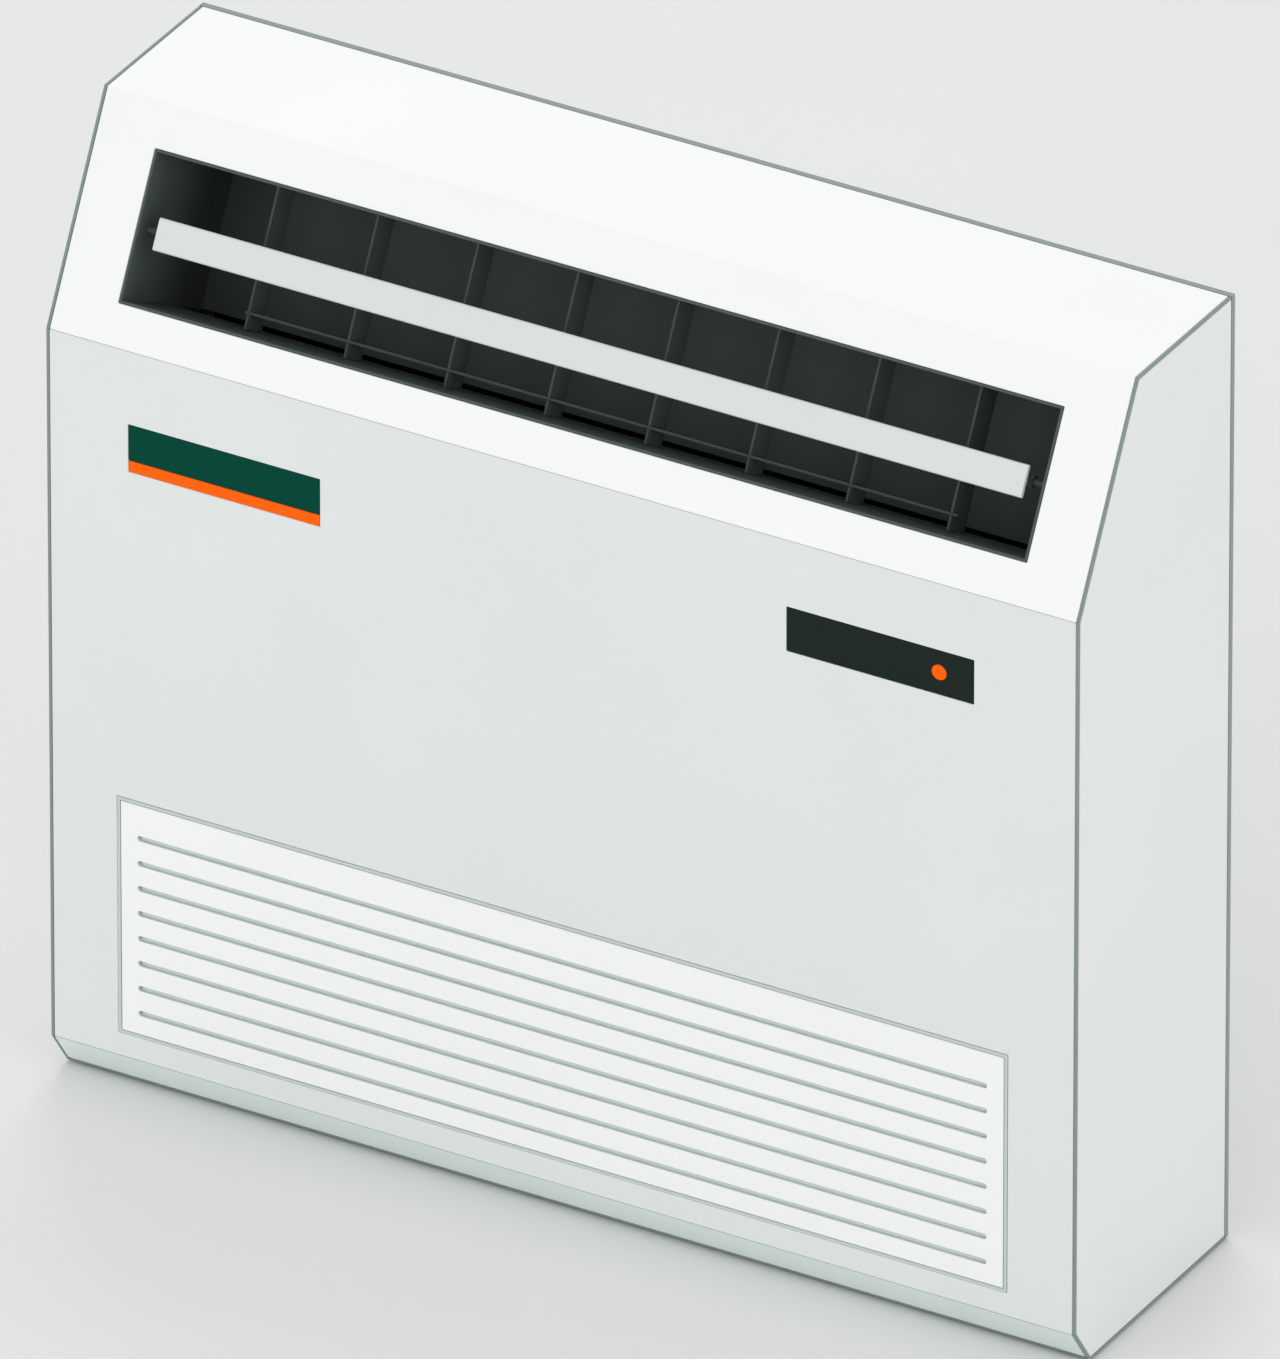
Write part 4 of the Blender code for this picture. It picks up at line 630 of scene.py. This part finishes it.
@dataclass
class Casing:
    """The outer covers, the back sheet and the feet."""

    cover_round: float = 0.0008
    trim_round: float = 0.0004
    sheet_round: float = 0.0004
    screw_radius: float = 0.0036
    screw_inset: float = 0.020
    bead_depth: float = 0.0026
    bead_width: float = 0.0140
    bead_pitch: float = 0.0560
    bead_half: float = 0.2450
    bead_margin: float = 1e-7
    pad_groove: float = 0.0004

    def build(self) -> None:
        """Model and dress every piece of the casing."""
        refine(("top_cover", "front_panel", "side_cover_left", "side_cover_right"),
               self.cover_round, 3)
        # the kick strip's grey finish is partly its own colour and partly painted shade on its
        # downward-facing chamfer
        refine(("kick_strip", "edge_trim_left", "edge_trim_right", "base_pan"), self.trim_round)
        self.back_sheet()
        self.back_screws()
        self.feet()
        refine(("cable_gland",), self.sheet_round)
        dress(("rear_insulation", "front_insulation"))

    def back_sheet(self) -> None:
        """The back sheet with level beads pressed into it, clear of its openings."""
        shape = Solid("rear_plate")
        foam_foot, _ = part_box("rear_insulation")
        low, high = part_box("rear_plate")
        rows = int((foam_foot.z - low.z) / self.bead_pitch)
        for row in range(rows):
            middle = foam_foot.z - self.bead_pitch * (row + 0.5)
            self.press(shape, middle, high.y)
        shape.round_edges(self.sheet_round)
        Piece("rear_plate_shell", "sheet_grey", ("rear_plate",)).finish(shape)

    def press(self, shape: Solid, middle: float, back: float) -> None:
        """Press one level bead inwards into both faces of the back sheet.

        Args:
            shape: the sheet, which is changed.
            middle: the height of the bead's middle.
            back: where the sheet's outer face lies in Y.
        """
        foot = middle - self.bead_width / 2
        head = middle + self.bead_width / 2
        side, up = Vector((1, 0, 0)), Vector((0, 0, 1))
        mesh = shape.mesh
        for normal, value in ((side, -self.bead_half), (side, self.bead_half),
                              (up, foot), (up, head)):
            bmesh.ops.bisect_plane(mesh, geom=mesh.verts[:] + mesh.edges[:] + mesh.faces[:],
                                   dist=self.bead_margin, plane_co=normal * value,
                                   plane_no=normal)
        mesh.normal_update()
        for outward in (1, -1):
            inside = []
            for face in mesh.faces:
                place = face.calc_center_median()
                level = foot < place.z < head and abs(place.x) < self.bead_half
                if level and face.normal.y * outward > 0.9 and back - place.y < self.bead_depth:
                    inside.append(face)
            bmesh.ops.inset_region(mesh, faces=inside, thickness=self.bead_depth,
                                   depth=-outward * self.bead_depth, use_even_offset=True)

    def back_screws(self) -> None:
        """The screws that hold the back sheet, one near each corner and half way up."""
        shape = Solid()
        low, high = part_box("rear_plate")
        head = self.screw_radius * SCREW_RISE
        for x in (low.x + self.screw_inset / 2, high.x - self.screw_inset / 2):
            for z in (low.z + self.screw_inset, (low.z + high.z) / 2, high.z - self.screw_inset):
                shape.screw((x, high.y - head, z), (0, 1, 0), self.screw_radius)
        Piece("back_screws", "steel").finish(shape)

    def feet(self) -> None:
        """The four rubber pads, each with a chamfer and a groove underneath."""
        for node in sorted(frame["nodes"]):
            if not node.startswith("foot_pad"):
                continue
            low, high, middle, size = measure(node)
            radius = size.x / 2
            groove = self.pad_groove
            profile = [(radius * 0.50, low.z + groove), (radius * 0.62, low.z + groove),
                       (radius * 0.66, low.z), (radius - groove, low.z),
                       (radius, low.z + groove), (radius, high.z - groove / 2),
                       (radius - groove / 2, high.z)]
            shape = Solid()
            shape.lathe(profile, Matrix.Translation((middle.x, middle.y, 0.0)), sides=48)
            Piece(node + "_rubber", "rubber", (node,)).finish(shape)


@dataclass
class FrontFittings:
    """The badge, the display and its button."""

    edge_round: float = 0.0003
    button_dish: float = 0.0005
    collar_step: float = 0.0015
    collar_height: float = 0.0027
    lamps: int = 5
    lamp_seat: float = 0.00005

    def build(self) -> None:
        """Model and dress the fittings of the front panel."""
        refine(("badge_plate", "badge_stripe", "display_window", "display_housing"),
               self.edge_round)
        self.button()
        self.board()

    def button(self) -> None:
        """The round button, with a chamfered rim, a dished face and a collar at its back."""
        _, high, middle, size = measure("power_button")
        collar = size.z / 2
        radius = collar - self.collar_step
        length = size.y
        rim = self.edge_round
        profile = [(collar - rim, 0.0), (collar, rim), (collar, self.collar_height - rim),
                   (collar - rim, self.collar_height), (radius, self.collar_height),
                   (radius, length - rim * 2), (radius - rim * 0.6, length - rim * 0.6),
                   (radius - rim * 2, length), (radius - rim * 4, length - rim * 0.4),
                   (radius * 0.35, length - self.button_dish),
                   (radius * 0.05, length - self.button_dish * 1.1)]
        shape = Solid()
        shape.lathe(profile, along((middle.x, high.y, middle.z), (0, -1, 0)), sides=48)
        Piece("power_button_cap", "badge_orange", ("power_button",),
              Body.BUTTON).finish(shape)

    def board(self) -> None:
        """The display's board, with a row of small lamps on it."""
        refine(("display_board",), self.edge_round / 2)
        board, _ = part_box("display_board")
        low, _, middle, size = measure("display_window")
        shape = Solid()
        lamp = self.edge_round * 4
        face = board.y + self.lamp_seat
        for step in range(self.lamps):
            x = low.x + size.x * (0.12 + 0.11 * step)
            shape.block((x - lamp, face - lamp, middle.z - lamp),
                        (x + lamp, face, middle.z + lamp), lamp * 0.2)
        Piece("display_lamps", "shell_white").finish(shape)


@dataclass
class Intake:
    """The grey edging, the hinged grille with louvres behind its slots, and the filters."""

    edging_round: float = 0.0002
    filter_round: float = 0.0004
    slot_round: float = 0.0003
    slot_reach: float = 0.0024
    louvre_depth: float = 0.0036
    louvre_thickness: float = 0.0008
    louvre_overlap: float = 0.0040
    gusset: float = 0.0010
    gussets: int = 7
    edging: float = 0.008
    end_edging: float = 0.004
    same_end: float = 0.00005
    net_rim: float = 0.006
    net_lift: float = 0.00045
    net_sides: int = 5
    weave_gap: float = 0.0022
    thread: float = 0.00012

    def build(self) -> None:
        """Model and dress the pieces of the intake."""
        refine(("grille_frame",), self.edging_round)
        self.grille()
        refine(("filter_frame",), self.filter_round)
        self.louvres()
        for node, body in (("filter_left", Body.LEFT_FILTER), ("filter_right", Body.RIGHT_FILTER)):
            refine((node,), self.filter_round)
            self.net(node, body)

    def grille(self) -> None:
        """The grille's panel, with the walls of its slots painted in the louvres' darker grey as
        painted shade in the slots.
        """
        shape = Solid("intake_grille")
        middles, ends = self.slot_rows()
        for face in shape.mesh.faces:
            place = face.calc_center_median()
            beside = min(abs(place.z - middle) for middle in middles) < self.slot_reach
            wall = abs(face.normal.y) < 0.5 and abs(place.x) < ends + self.slot_reach
            # painted shade: the slot walls take the darker grey so that the slots look shaded
            face.material_index = int(wall and beside)
        shape.round_edges(self.slot_round)
        thing = Piece("intake_grille_shell", "grille_white", ("intake_grille",),
                      Body.GRILLE).finish(shape)
        thing.data.materials.append(PALETTE.get("kick_grey"))

    def slot_rows(self) -> tuple[list[float], float]:
        """Read the slots' places from the grille's mesh.

        Returns:
            The height of each slot's middle, from the lowest, and how far the slots reach.
        """
        low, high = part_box("intake_grille")
        rims: dict[float, float] = {}
        for vert in frame["nodes"]["intake_grille"].data.vertices:
            place = vert.co
            level = low.z + self.edging < place.z < high.z - self.edging
            if level and abs(place.x) < high.x - self.end_edging:
                height = round(place.z, 4)
                rims[height] = max(rims.get(height, 0.0), abs(place.x))
        ends = max(rims.values())
        middles = sorted(height for height, reach in rims.items()
                         if reach > ends - self.same_end)
        return middles, ends

    def louvres(self) -> None:
        """A blade behind each slot that rises to the rear, with gussets and end plates."""
        middles, ends = self.slot_rows()
        _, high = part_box("intake_grille")
        shape = Solid()
        reach = ends + self.louvre_overlap
        pitch = (middles[-1] - middles[0]) / (len(middles) - 1)
        half = pitch * 0.11
        rise = pitch * 0.34
        length = math.hypot(self.louvre_depth, rise)
        tilt = Matrix.Rotation(math.atan2(rise, self.louvre_depth), 4, "X")
        web = self.gusset / 2
        for middle in middles:
            foot = middle - half - self.louvre_thickness
            place = Matrix.Translation((0, high.y, foot)) @ tilt
            shape.block((-reach, 0, -self.louvre_thickness), (reach, length, 0),
                        self.louvre_thickness * 0.3, place)
            for step in range(self.gussets):
                x = (step - self.gussets // 2) * reach / (self.gussets / 2)
                shape.block((x - web, high.y, foot - pitch * 0.30),
                            (x + web, high.y + self.louvre_depth * 0.35, foot + web),
                            self.gusset * 0.2)
        for side in (-1, 1):
            near, far = sorted((side * reach, side * (reach + self.gusset)))
            shape.block((near, high.y, middles[0] - pitch * 0.4),
                        (far, high.y + self.louvre_depth, middles[-1] + pitch * 0.4),
                        self.gusset * 0.25)
        # the louvres take the darker kick_grey: painted shade added to the real shade in the slots
        Piece("grille_louvres", "kick_grey", body=Body.GRILLE).finish(shape)

    def net(self, node: str, body: Body) -> None:
        """Add the crossing threads of a filter's net, just off the sheet under it.

        Args:
            node: the filter's node.
            body: the body that carries it.
        """
        low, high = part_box(node)
        shape = Solid()
        left, right = low.x + self.net_rim, high.x - self.net_rim
        foot, head = low.z + self.net_rim, high.z - self.net_rim
        face = (low.y + high.y) / 2 - self.net_lift
        across = int((right - left) / self.weave_gap)
        for step in range(1, across):
            x = left + (right - left) * step / across
            shape.rod((x, face, foot), (x, face, head), self.thread, self.net_sides)
        face -= self.thread
        up = int((head - foot) / self.weave_gap)
        for step in range(1, up):
            z = foot + (head - foot) * step / up
            shape.rod((left, face, z), (right, face, z), self.thread, self.net_sides)
        Piece(node + "_net", "filter_grey", body=body, smooth_angle=60.0).finish(shape)


@dataclass
class Outlet:
    """The dark duct, the swinging flap, the guide vanes and the flap's motor."""

    duct_round: float = 0.0004
    flap_round: float = 0.0002
    vane_round: float = 0.00035
    link_round: float = 0.0002
    strip_depth: float = 0.0032
    pin_length: float = 0.0135

    def build(self) -> None:
        """Model and dress the pieces of the outlet."""
        # the duct's near-black finish is partly painted shade inside the outlet
        refine(("outlet_duct",), self.duct_round)
        self.flap()
        refine([node for node in sorted(frame["nodes"]) if node.startswith("guide_vane")],
               self.vane_round)
        refine(("vane_link",), self.link_round)
        refine(("flap_motor",), self.duct_round, 3)

    def flap(self) -> None:
        """The flap, its light strip in front and its arms and pins in the duct's dark finish,
        which is partly a dark moulding and partly painted shade inside the outlet.
        """
        shape = Solid("outlet_flap")
        shape.round_edges(self.flap_round)
        strip = max(shape.mesh.faces, key=lambda face: face.calc_area())
        facing = strip.normal.copy()
        front = strip.calc_center_median().dot(facing)
        _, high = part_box("outlet_flap")
        reach = high.x - self.pin_length
        for face in shape.mesh.faces:
            middle = face.calc_center_median()
            behind = front - middle.dot(facing) > self.strip_depth
            # partly painted shade: the faces behind the strip and the pins take the duct's dark
            # finish
            face.material_index = int(behind or abs(middle.x) > reach)
        thing = Piece("outlet_flap_shell", "flap_grey", ("outlet_flap",),
                      Body.FLAP).finish(shape)
        thing.data.materials.append(PALETTE.get("duct_dark"))


@dataclass
class FanSection:
    """The two fan housings, their wheels, the motor and the deck above them."""

    sheet_round: float = 0.0004
    shaft_round: float = 0.0005
    deck_round: float = 0.0003
    round_angle: float = 50.0
    blades: int = 36
    blade_chord: float = 0.0125
    blade_wall: float = 0.0009
    blade_steps: int = 5
    blade_sweep: float = 20.0
    ring_depth: float = 0.0030
    hub_radius: float = 0.0115
    hub_length: float = 0.0190
    disc_wall: float = 0.0022
    rim: float = 0.001
    motor_bore: float = 0.0060
    motor_boss: float = 0.0145
    motor_nose: float = 0.0080
    motor_bell: float = 0.0100
    motor_seam: float = 0.0006
    vents: int = 12
    front_inset: float = 0.014
    rear_inset: float = 0.006
    deck_screw: float = 0.0024
    deck_places: int = 4

    def build(self) -> None:
        """Model and dress the pieces of the fan section."""
        refine(("fan_scroll_left", "fan_scroll_right"), self.sheet_round,
               angle=self.round_angle)
        refine(("fan_shaft", "motor_cradle"), self.shaft_round, angle=self.round_angle)
        refine(("fan_deck",), self.deck_round)
        for node in ("fan_wheel_left", "fan_wheel_right"):
            self.wheel(node)
        self.motor()
        self.deck_screws()

    def wheel(self, node: str) -> None:
        """Model a fan wheel: two end rings, a middle disc on a hub and curved blades between.

        Args:
            node: the wheel's node.
        """
        low, high, middle, size = measure(node)
        axis = (middle.y, middle.z)
        radius = size.z / 2
        shape = Solid()
        inner = radius - self.blade_chord
        lip = self.ring_depth * 0.2
        for start, turn in ((low.x, 1), (high.x, -1)):
            place = along((start, *axis), (turn, 0, 0))
            self.ring(shape, inner, radius, self.ring_depth, lip, place)
        self.disc(shape, radius - self.blade_chord * 0.4, middle)
        for step in range(self.blades):
            turn = Matrix.Rotation(math.tau * step / self.blades, 4, "X")
            self.blade(shape, inner, radius - lip, (low.x + lip, high.x - lip),
                       Matrix.Translation((0, *axis)) @ turn)
        Piece(node + "_moulding", "fan_plastic", (node,), Body.ROTOR,
              self.round_angle).finish(shape)

    @staticmethod
    def ring(shape: Solid, inner: float, outer: float, depth: float, lip: float,
             place: Matrix) -> None:
        """Add a flat ring with chamfered rims.

        Args:
            shape: the solid to add to.
            inner: its inner radius.
            outer: its outer radius.
            depth: how far it reaches along its axis.
            lip: the chamfers' width.
            place: the frame whose Z is the axis.
        """
        profile = [(inner + lip, 0.0), (outer - lip, 0.0), (outer, lip), (outer, depth - lip),
                   (outer - lip, depth), (inner + lip, depth), (inner, depth - lip),
                   (inner, lip)]
        shape.lathe(profile, place, sides=72, bored=True)

    def disc(self, shape: Solid, radius: float, centre: Point) -> None:
        """Add the disc in the middle of a wheel, with its hub and a stiffening step.

        Args:
            shape: the solid to add to.
            radius: the disc's radius.
            centre: its middle.
        """
        half = self.disc_wall / 2
        hub = self.hub_length / 2
        step = self.disc_wall * 0.8
        neck = self.hub_radius
        profile = [(neck * 0.5, -hub), (neck - self.rim, -hub), (neck, -hub + self.rim),
                   (neck, -half), (radius * 0.60, -half), (radius * 0.66, -half - step),
                   (radius - self.rim / 2, -half - step),
                   (radius, -half - step + self.rim / 2), (radius, half - step),
                   (radius * 0.66, half - step), (radius * 0.60, half), (neck, half),
                   (neck, hub - self.rim), (neck - self.rim, hub), (neck * 0.5, hub)]
        shape.lathe(profile, along(centre, (1, 0, 0)), sides=60, bored=True)

    def blade(self, shape: Solid, inner: float, outer: float,
              span: tuple[float, float], place: Matrix) -> None:
        """Add one forward-curved blade between the end rings.

        Args:
            shape: the solid to add to.
            inner: the radius where the blade begins.
            outer: the radius where it ends.
            span: from where to where it reaches along the axis.
            place: the frame that the blade is in.
        """
        outline = []
        for side in (-0.5, 0.5):
            row = []
            for step in range(self.blade_steps):
                share = step / (self.blade_steps - 1)
                radius = inner + (outer - inner) * share
                sweep = math.radians(self.blade_sweep) * share * share
                swell = side * self.blade_wall * (0.45 + 0.55 * math.sin(math.pi * share))
                angle = sweep + swell / radius
                row.append((radius * math.cos(angle), radius * math.sin(angle)))
            outline += row if side < 0 else list(reversed(row))
        shape.stack([[(x, y, z) for y, z in reversed(outline)] for x in span], place)

    def motor(self) -> None:
        """The motor: a can with rounded end bells, vents and a raised seam."""
        low, high, middle, size = measure("fan_motor")
        radius = size.z / 2
        axis = (middle.y, middle.z)
        length = size.x
        boss, nose, bell = self.motor_boss, self.motor_nose, self.motor_bell
        wall = radius - self.motor_seam
        profile = [(self.motor_bore, 0.0), (boss - self.rim, 0.0), (boss, self.rim),
                   (boss, nose), (radius * 0.78, nose), (radius * 0.90, nose + bell * 0.12),
                   (radius * 0.97, nose + bell * 0.45), (wall, nose + bell),
                   (wall, length * 0.47), (radius, length * 0.475)]
        profile += [(reach, length - height) for reach, height in reversed(profile)]
        shape = Solid()
        shape.lathe(profile, along((low.x, *axis), (1, 0, 0)), sides=64, bored=True)
        for face, turn in ((low.x + nose, -1), (high.x - nose, 1)):
            for step in range(self.vents):
                angle = math.tau * step / self.vents
                spot = (face, axis[0] + radius * 0.62 * math.cos(angle),
                        axis[1] + radius * 0.62 * math.sin(angle))
                shape.lathe(MOTOR_VENT, along(spot, (turn, 0, 0)), sides=16)
        Piece("fan_motor_can", "steel", ("fan_motor",), smooth_angle=40.0).finish(shape)

    def deck_screws(self) -> None:
        """The screws along the front and rear edges of the deck."""
        low, high, _, size = measure("fan_deck")
        shape = Solid()
        for y in (low.y + self.front_inset, high.y - self.rear_inset):
            for step in range(self.deck_places):
                x = low.x + size.x * (0.03 + 0.94 * step / (self.deck_places - 1))
                shape.screw((x, y, high.z), (0, 0, 1), self.deck_screw)
        Piece("deck_screws", "steel").finish(shape)


@dataclass
class CoilSection:
    """The finned coil, its tube and unions, and the pan under it."""

    fin_gap: float = 0.0019
    fin_wall: float = 0.00014
    plate_round: float = 0.0003
    pan_round: float = 0.0005
    nut_flats: float = 0.019065
    nut_rim: float = 0.0008
    neck: float = 0.0078
    crest: float = 0.0080
    root: float = 0.0073
    pitch: float = 0.0012
    nose: float = 0.0042

    def build(self) -> None:
        """Model and dress the pieces of the coil section."""
        refine(("coil_plate_left", "coil_plate_right"), self.plate_round)
        refine(("drain_pan",), self.pan_round)
        dress(("coil_tube",))
        self.fins()
        for node in ("gas_union", "liquid_union"):
            self.union(node)

    def fins(self) -> None:
        """The stack of thin fins, each a flat sheet in the coil's slanted outline."""
        low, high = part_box("coil_fins")
        verts = [vert.co for vert in frame["nodes"]["coil_fins"].data.vertices]
        corners = [pick(verts, key=key) for pick in (min, max)
                   for key in (lambda at: (round(at.y, 4), at.z),
                               lambda at: (round(at.z, 4), -at.y))]
        shape = Solid()
        count = int((high.x - low.x) / self.fin_gap)
        for step in range(count):
            x = low.x + (high.x - low.x - self.fin_wall) * step / (count - 1)
            shape.stack([[(face, corner.y, corner.z) for corner in corners]
                         for face in (x, x + self.fin_wall)], Matrix.Identity(4))
        bmesh.ops.recalc_face_normals(shape.mesh, faces=shape.mesh.faces)
        Piece("coil_fin_stack", "aluminium", ("coil_fins",)).finish(shape)

    def union(self, node: str) -> None:
        """Model a flare union: a hexagon nut, a threaded shank and a coned nose.

        Args:
            node: the union's node.
        """
        _, high, middle, size = measure(node)
        length = size.x
        flats = self.nut_flats
        half = length * 0.50
        shank = [(flats * 0.46, half), (self.neck, half)]
        height = length * 0.52
        while height < length * 0.66:
            shank += [(self.crest, height), (self.root, height + self.pitch / 2)]
            height += self.pitch
        shank += [(self.root - 0.0001, length * 0.67), (self.nose, length - self.pitch / 2),
                  (self.nose - self.pitch / 2, length)]
        rings = [round_ring(flats * 0.46, 0.0, 36), hex_ring(flats, self.nut_rim),
                 hex_ring(flats, half - self.nut_rim)]
        rings += [round_ring(radius, height, 36) for radius, height in shank]
        shape = Solid()
        shape.stack(rings, along((high.x, middle.y, middle.z), (-1, 0, 0)))
        Piece(node + "_nut", "brass", (node,), smooth_angle=30.0).finish(shape)


@dataclass
class Controls:
    """The control box, its lid and what is inside it."""

    sheet_round: float = 0.0004
    board_round: float = 0.0003
    block_round: float = 0.0005
    board_wall: float = 0.0016
    chip: float = 0.0065
    chip_height: float = 0.0020
    seat: float = 0.0001
    terminals_across: int = 5
    terminal_screw: float = 0.0020
    can_rim: float = 0.0012
    tab_step: float = 0.0036
    tab_reach: float = 0.0022
    tab_wall: float = 0.0004

    def build(self) -> None:
        """Model and dress the pieces of the control box."""
        refine(("control_box", "control_lid"), self.sheet_round)
        refine(("control_board",), self.board_round)
        self.chips()
        self.terminals()
        self.capacitor()
        dress(("motor_lead",))

    def chips(self) -> None:
        """Small parts on the control board: flat chips and round capacitors by turns."""
        low, _, _, size = measure("control_board")
        face = low.x + self.board_wall
        shape = Solid()
        for row in range(4):
            for column in range(3):
                y = low.y + size.y * (0.14 + 0.34 * column)
                z = low.z + size.z * (0.12 + 0.25 * row)
                if (row + column) % 2:
                    shape.block((face - self.seat, y - self.chip, z - self.chip / 2),
                                (face + self.chip_height, y + self.chip, z + self.chip / 2),
                                self.board_round)
                else:
                    shape.lathe(BOARD_CAN, along((face, y + self.chip / 2, z), (1, 0, 0)),
                                sides=20)
        Piece("board_chips", "fan_plastic").finish(shape)

    def terminals(self) -> None:
        """The terminal block with its walls and brass screws."""
        low, high, _, size = measure("terminal_block")
        shape = Solid("terminal_block")
        shape.round_edges(self.block_round)
        Piece("terminal_body", "fan_plastic", ("terminal_block",)).finish(shape)
        screws = Solid()
        for step in range(self.terminals_across):
            y = low.y + size.y * (0.12 + 0.19 * step)
            for share in (0.28, 0.72):
                screws.screw((high.x, y, low.z + size.z * share), (1, 0, 0),
                             self.terminal_screw)
        Piece("terminal_screws", "brass").finish(screws)

    def capacitor(self) -> None:
        """The motor's capacitor: a can with a rolled rim and two tabs."""
        low, high, middle, size = measure("motor_capacitor")
        radius = size.x / 2
        length = size.z
        shape = Solid()
        rim = self.can_rim
        profile = [(radius * 0.7, 0.0), (radius - rim, 0.0), (radius, rim),
                   (radius, length * 0.90), (radius - rim / 1.5, length * 0.92),
                   (radius, length * 0.94), (radius - rim / 1.2, length * 0.96),
                   (radius * 0.55, length * 0.96), (radius * 0.50, length * 0.93)]
        shape.lathe(profile, Matrix.Translation((middle.x, middle.y, low.z)), sides=40)
        for side in (-1, 1):
            y = middle.y + side * self.tab_step
            foot = low.z + length * 0.92
            shape.block((middle.x - self.tab_reach, y - self.tab_wall, foot),
                        (middle.x + self.tab_reach, y + self.tab_wall, high.z), self.seat)
        Piece("motor_capacitor_can", "aluminium", ("motor_capacitor",)).finish(shape)


@dataclass
class Studio:
    """The pale floor, the soft lights and the camera at the photograph's angle."""

    azimuth: float = 30.0
    elevation: float = 30.0
    distance: float = 27.48
    aim: Point = (0.0014, 0.0, 0.336)
    lens: float = 1200.0
    sensor: float = 36.0
    view_reach: float = 1000.0
    floor_reach: float = 60.0
    floor_cells: int = 8
    sky: float = 0.80
    lights: tuple[tuple[str, Point, float, float], ...] = (
        ("key", (-1.2, -3.2, 1.5), 2.2, 23.0), ("fill", (3.0, -1.0, 1.1), 2.2, 22.0),
        ("top", (-0.8, 1.4, 2.9), 1.4, 18.0))

    def build(self) -> None:
        """Set up the floor, the sky, the lights and the camera."""
        self.floor()
        self.world()
        for name, place, size, power in self.lights:
            self.light(name, place, size, power)
        self.camera()
        bpy.context.scene.view_settings.view_transform = "Standard"

    @staticmethod
    def place(name: str, data: bpy.types.ID) -> bpy.types.Object:
        """Put a mesh, light or camera into the scene.

        Args:
            name: the object's name.
            data: what it shows.

        Returns:
            The new object.
        """
        thing = bpy.data.objects.new(name, data)
        bpy.context.scene.collection.objects.link(thing)
        return thing

    def floor(self) -> None:
        """A wide, plain, pale floor."""
        shape = Solid()
        bmesh.ops.create_grid(shape.mesh, x_segments=self.floor_cells,
                              y_segments=self.floor_cells, size=self.floor_reach)
        mesh = bpy.data.meshes.new("floor")
        shape.mesh.to_mesh(mesh)
        shape.mesh.free()
        mesh.materials.append(FLOOR_PAINT.build())
        self.place("floor", mesh)

    def world(self) -> None:
        """An even, pale sky."""
        world = bpy.data.worlds.new("studio_sky")
        world.use_nodes = True
        back = world.node_tree.nodes["Background"]
        back.inputs["Color"].default_value = (1.0, 1.0, 1.0, 1.0)
        back.inputs["Strength"].default_value = self.sky
        bpy.context.scene.world = world

    def light(self, name: str, place: Point, size: float, power: float) -> None:
        """Add a square area light that faces the middle of the object.

        Args:
            name: the light's name.
            place: where it hangs.
            size: how wide it is, in metres.
            power: its power in watts.
        """
        data = bpy.data.lights.new(name, "AREA")
        data.size = size
        data.energy = power
        thing = self.place(name, data)
        thing.location = place
        facing = Vector(self.aim) - Vector(place)
        thing.rotation_euler = facing.to_track_quat("-Z", "Y").to_euler()

    def camera(self) -> None:
        """A long lens far away, which draws the object almost without perspective."""
        data = bpy.data.cameras.new("camera")
        data.lens = self.lens
        data.sensor_width = self.sensor
        data.clip_end = self.view_reach
        thing = self.place("camera", data)
        turn = math.radians(self.azimuth)
        rise = math.radians(self.elevation)
        back = Vector((math.sin(turn) * math.cos(rise), -math.cos(turn) * math.cos(rise),
                       math.sin(rise)))
        thing.location = Vector(self.aim) + back * self.distance
        thing.rotation_euler = (-back).to_track_quat("-Z", "Y").to_euler()
        bpy.context.scene.camera = thing


def main() -> None:
    """Build every sub-assembly in turn, then the studio."""
    logging.basicConfig(level=logging.INFO, format="%(message)s")
    for section in (Casing(), FrontFittings(), Intake(), Outlet(), FanSection(), CoilSection(),
                    Controls()):
        LOG.info("building %s", type(section).__name__)
        section.build()
    Studio().build()


if __name__ == "__main__":
    main()
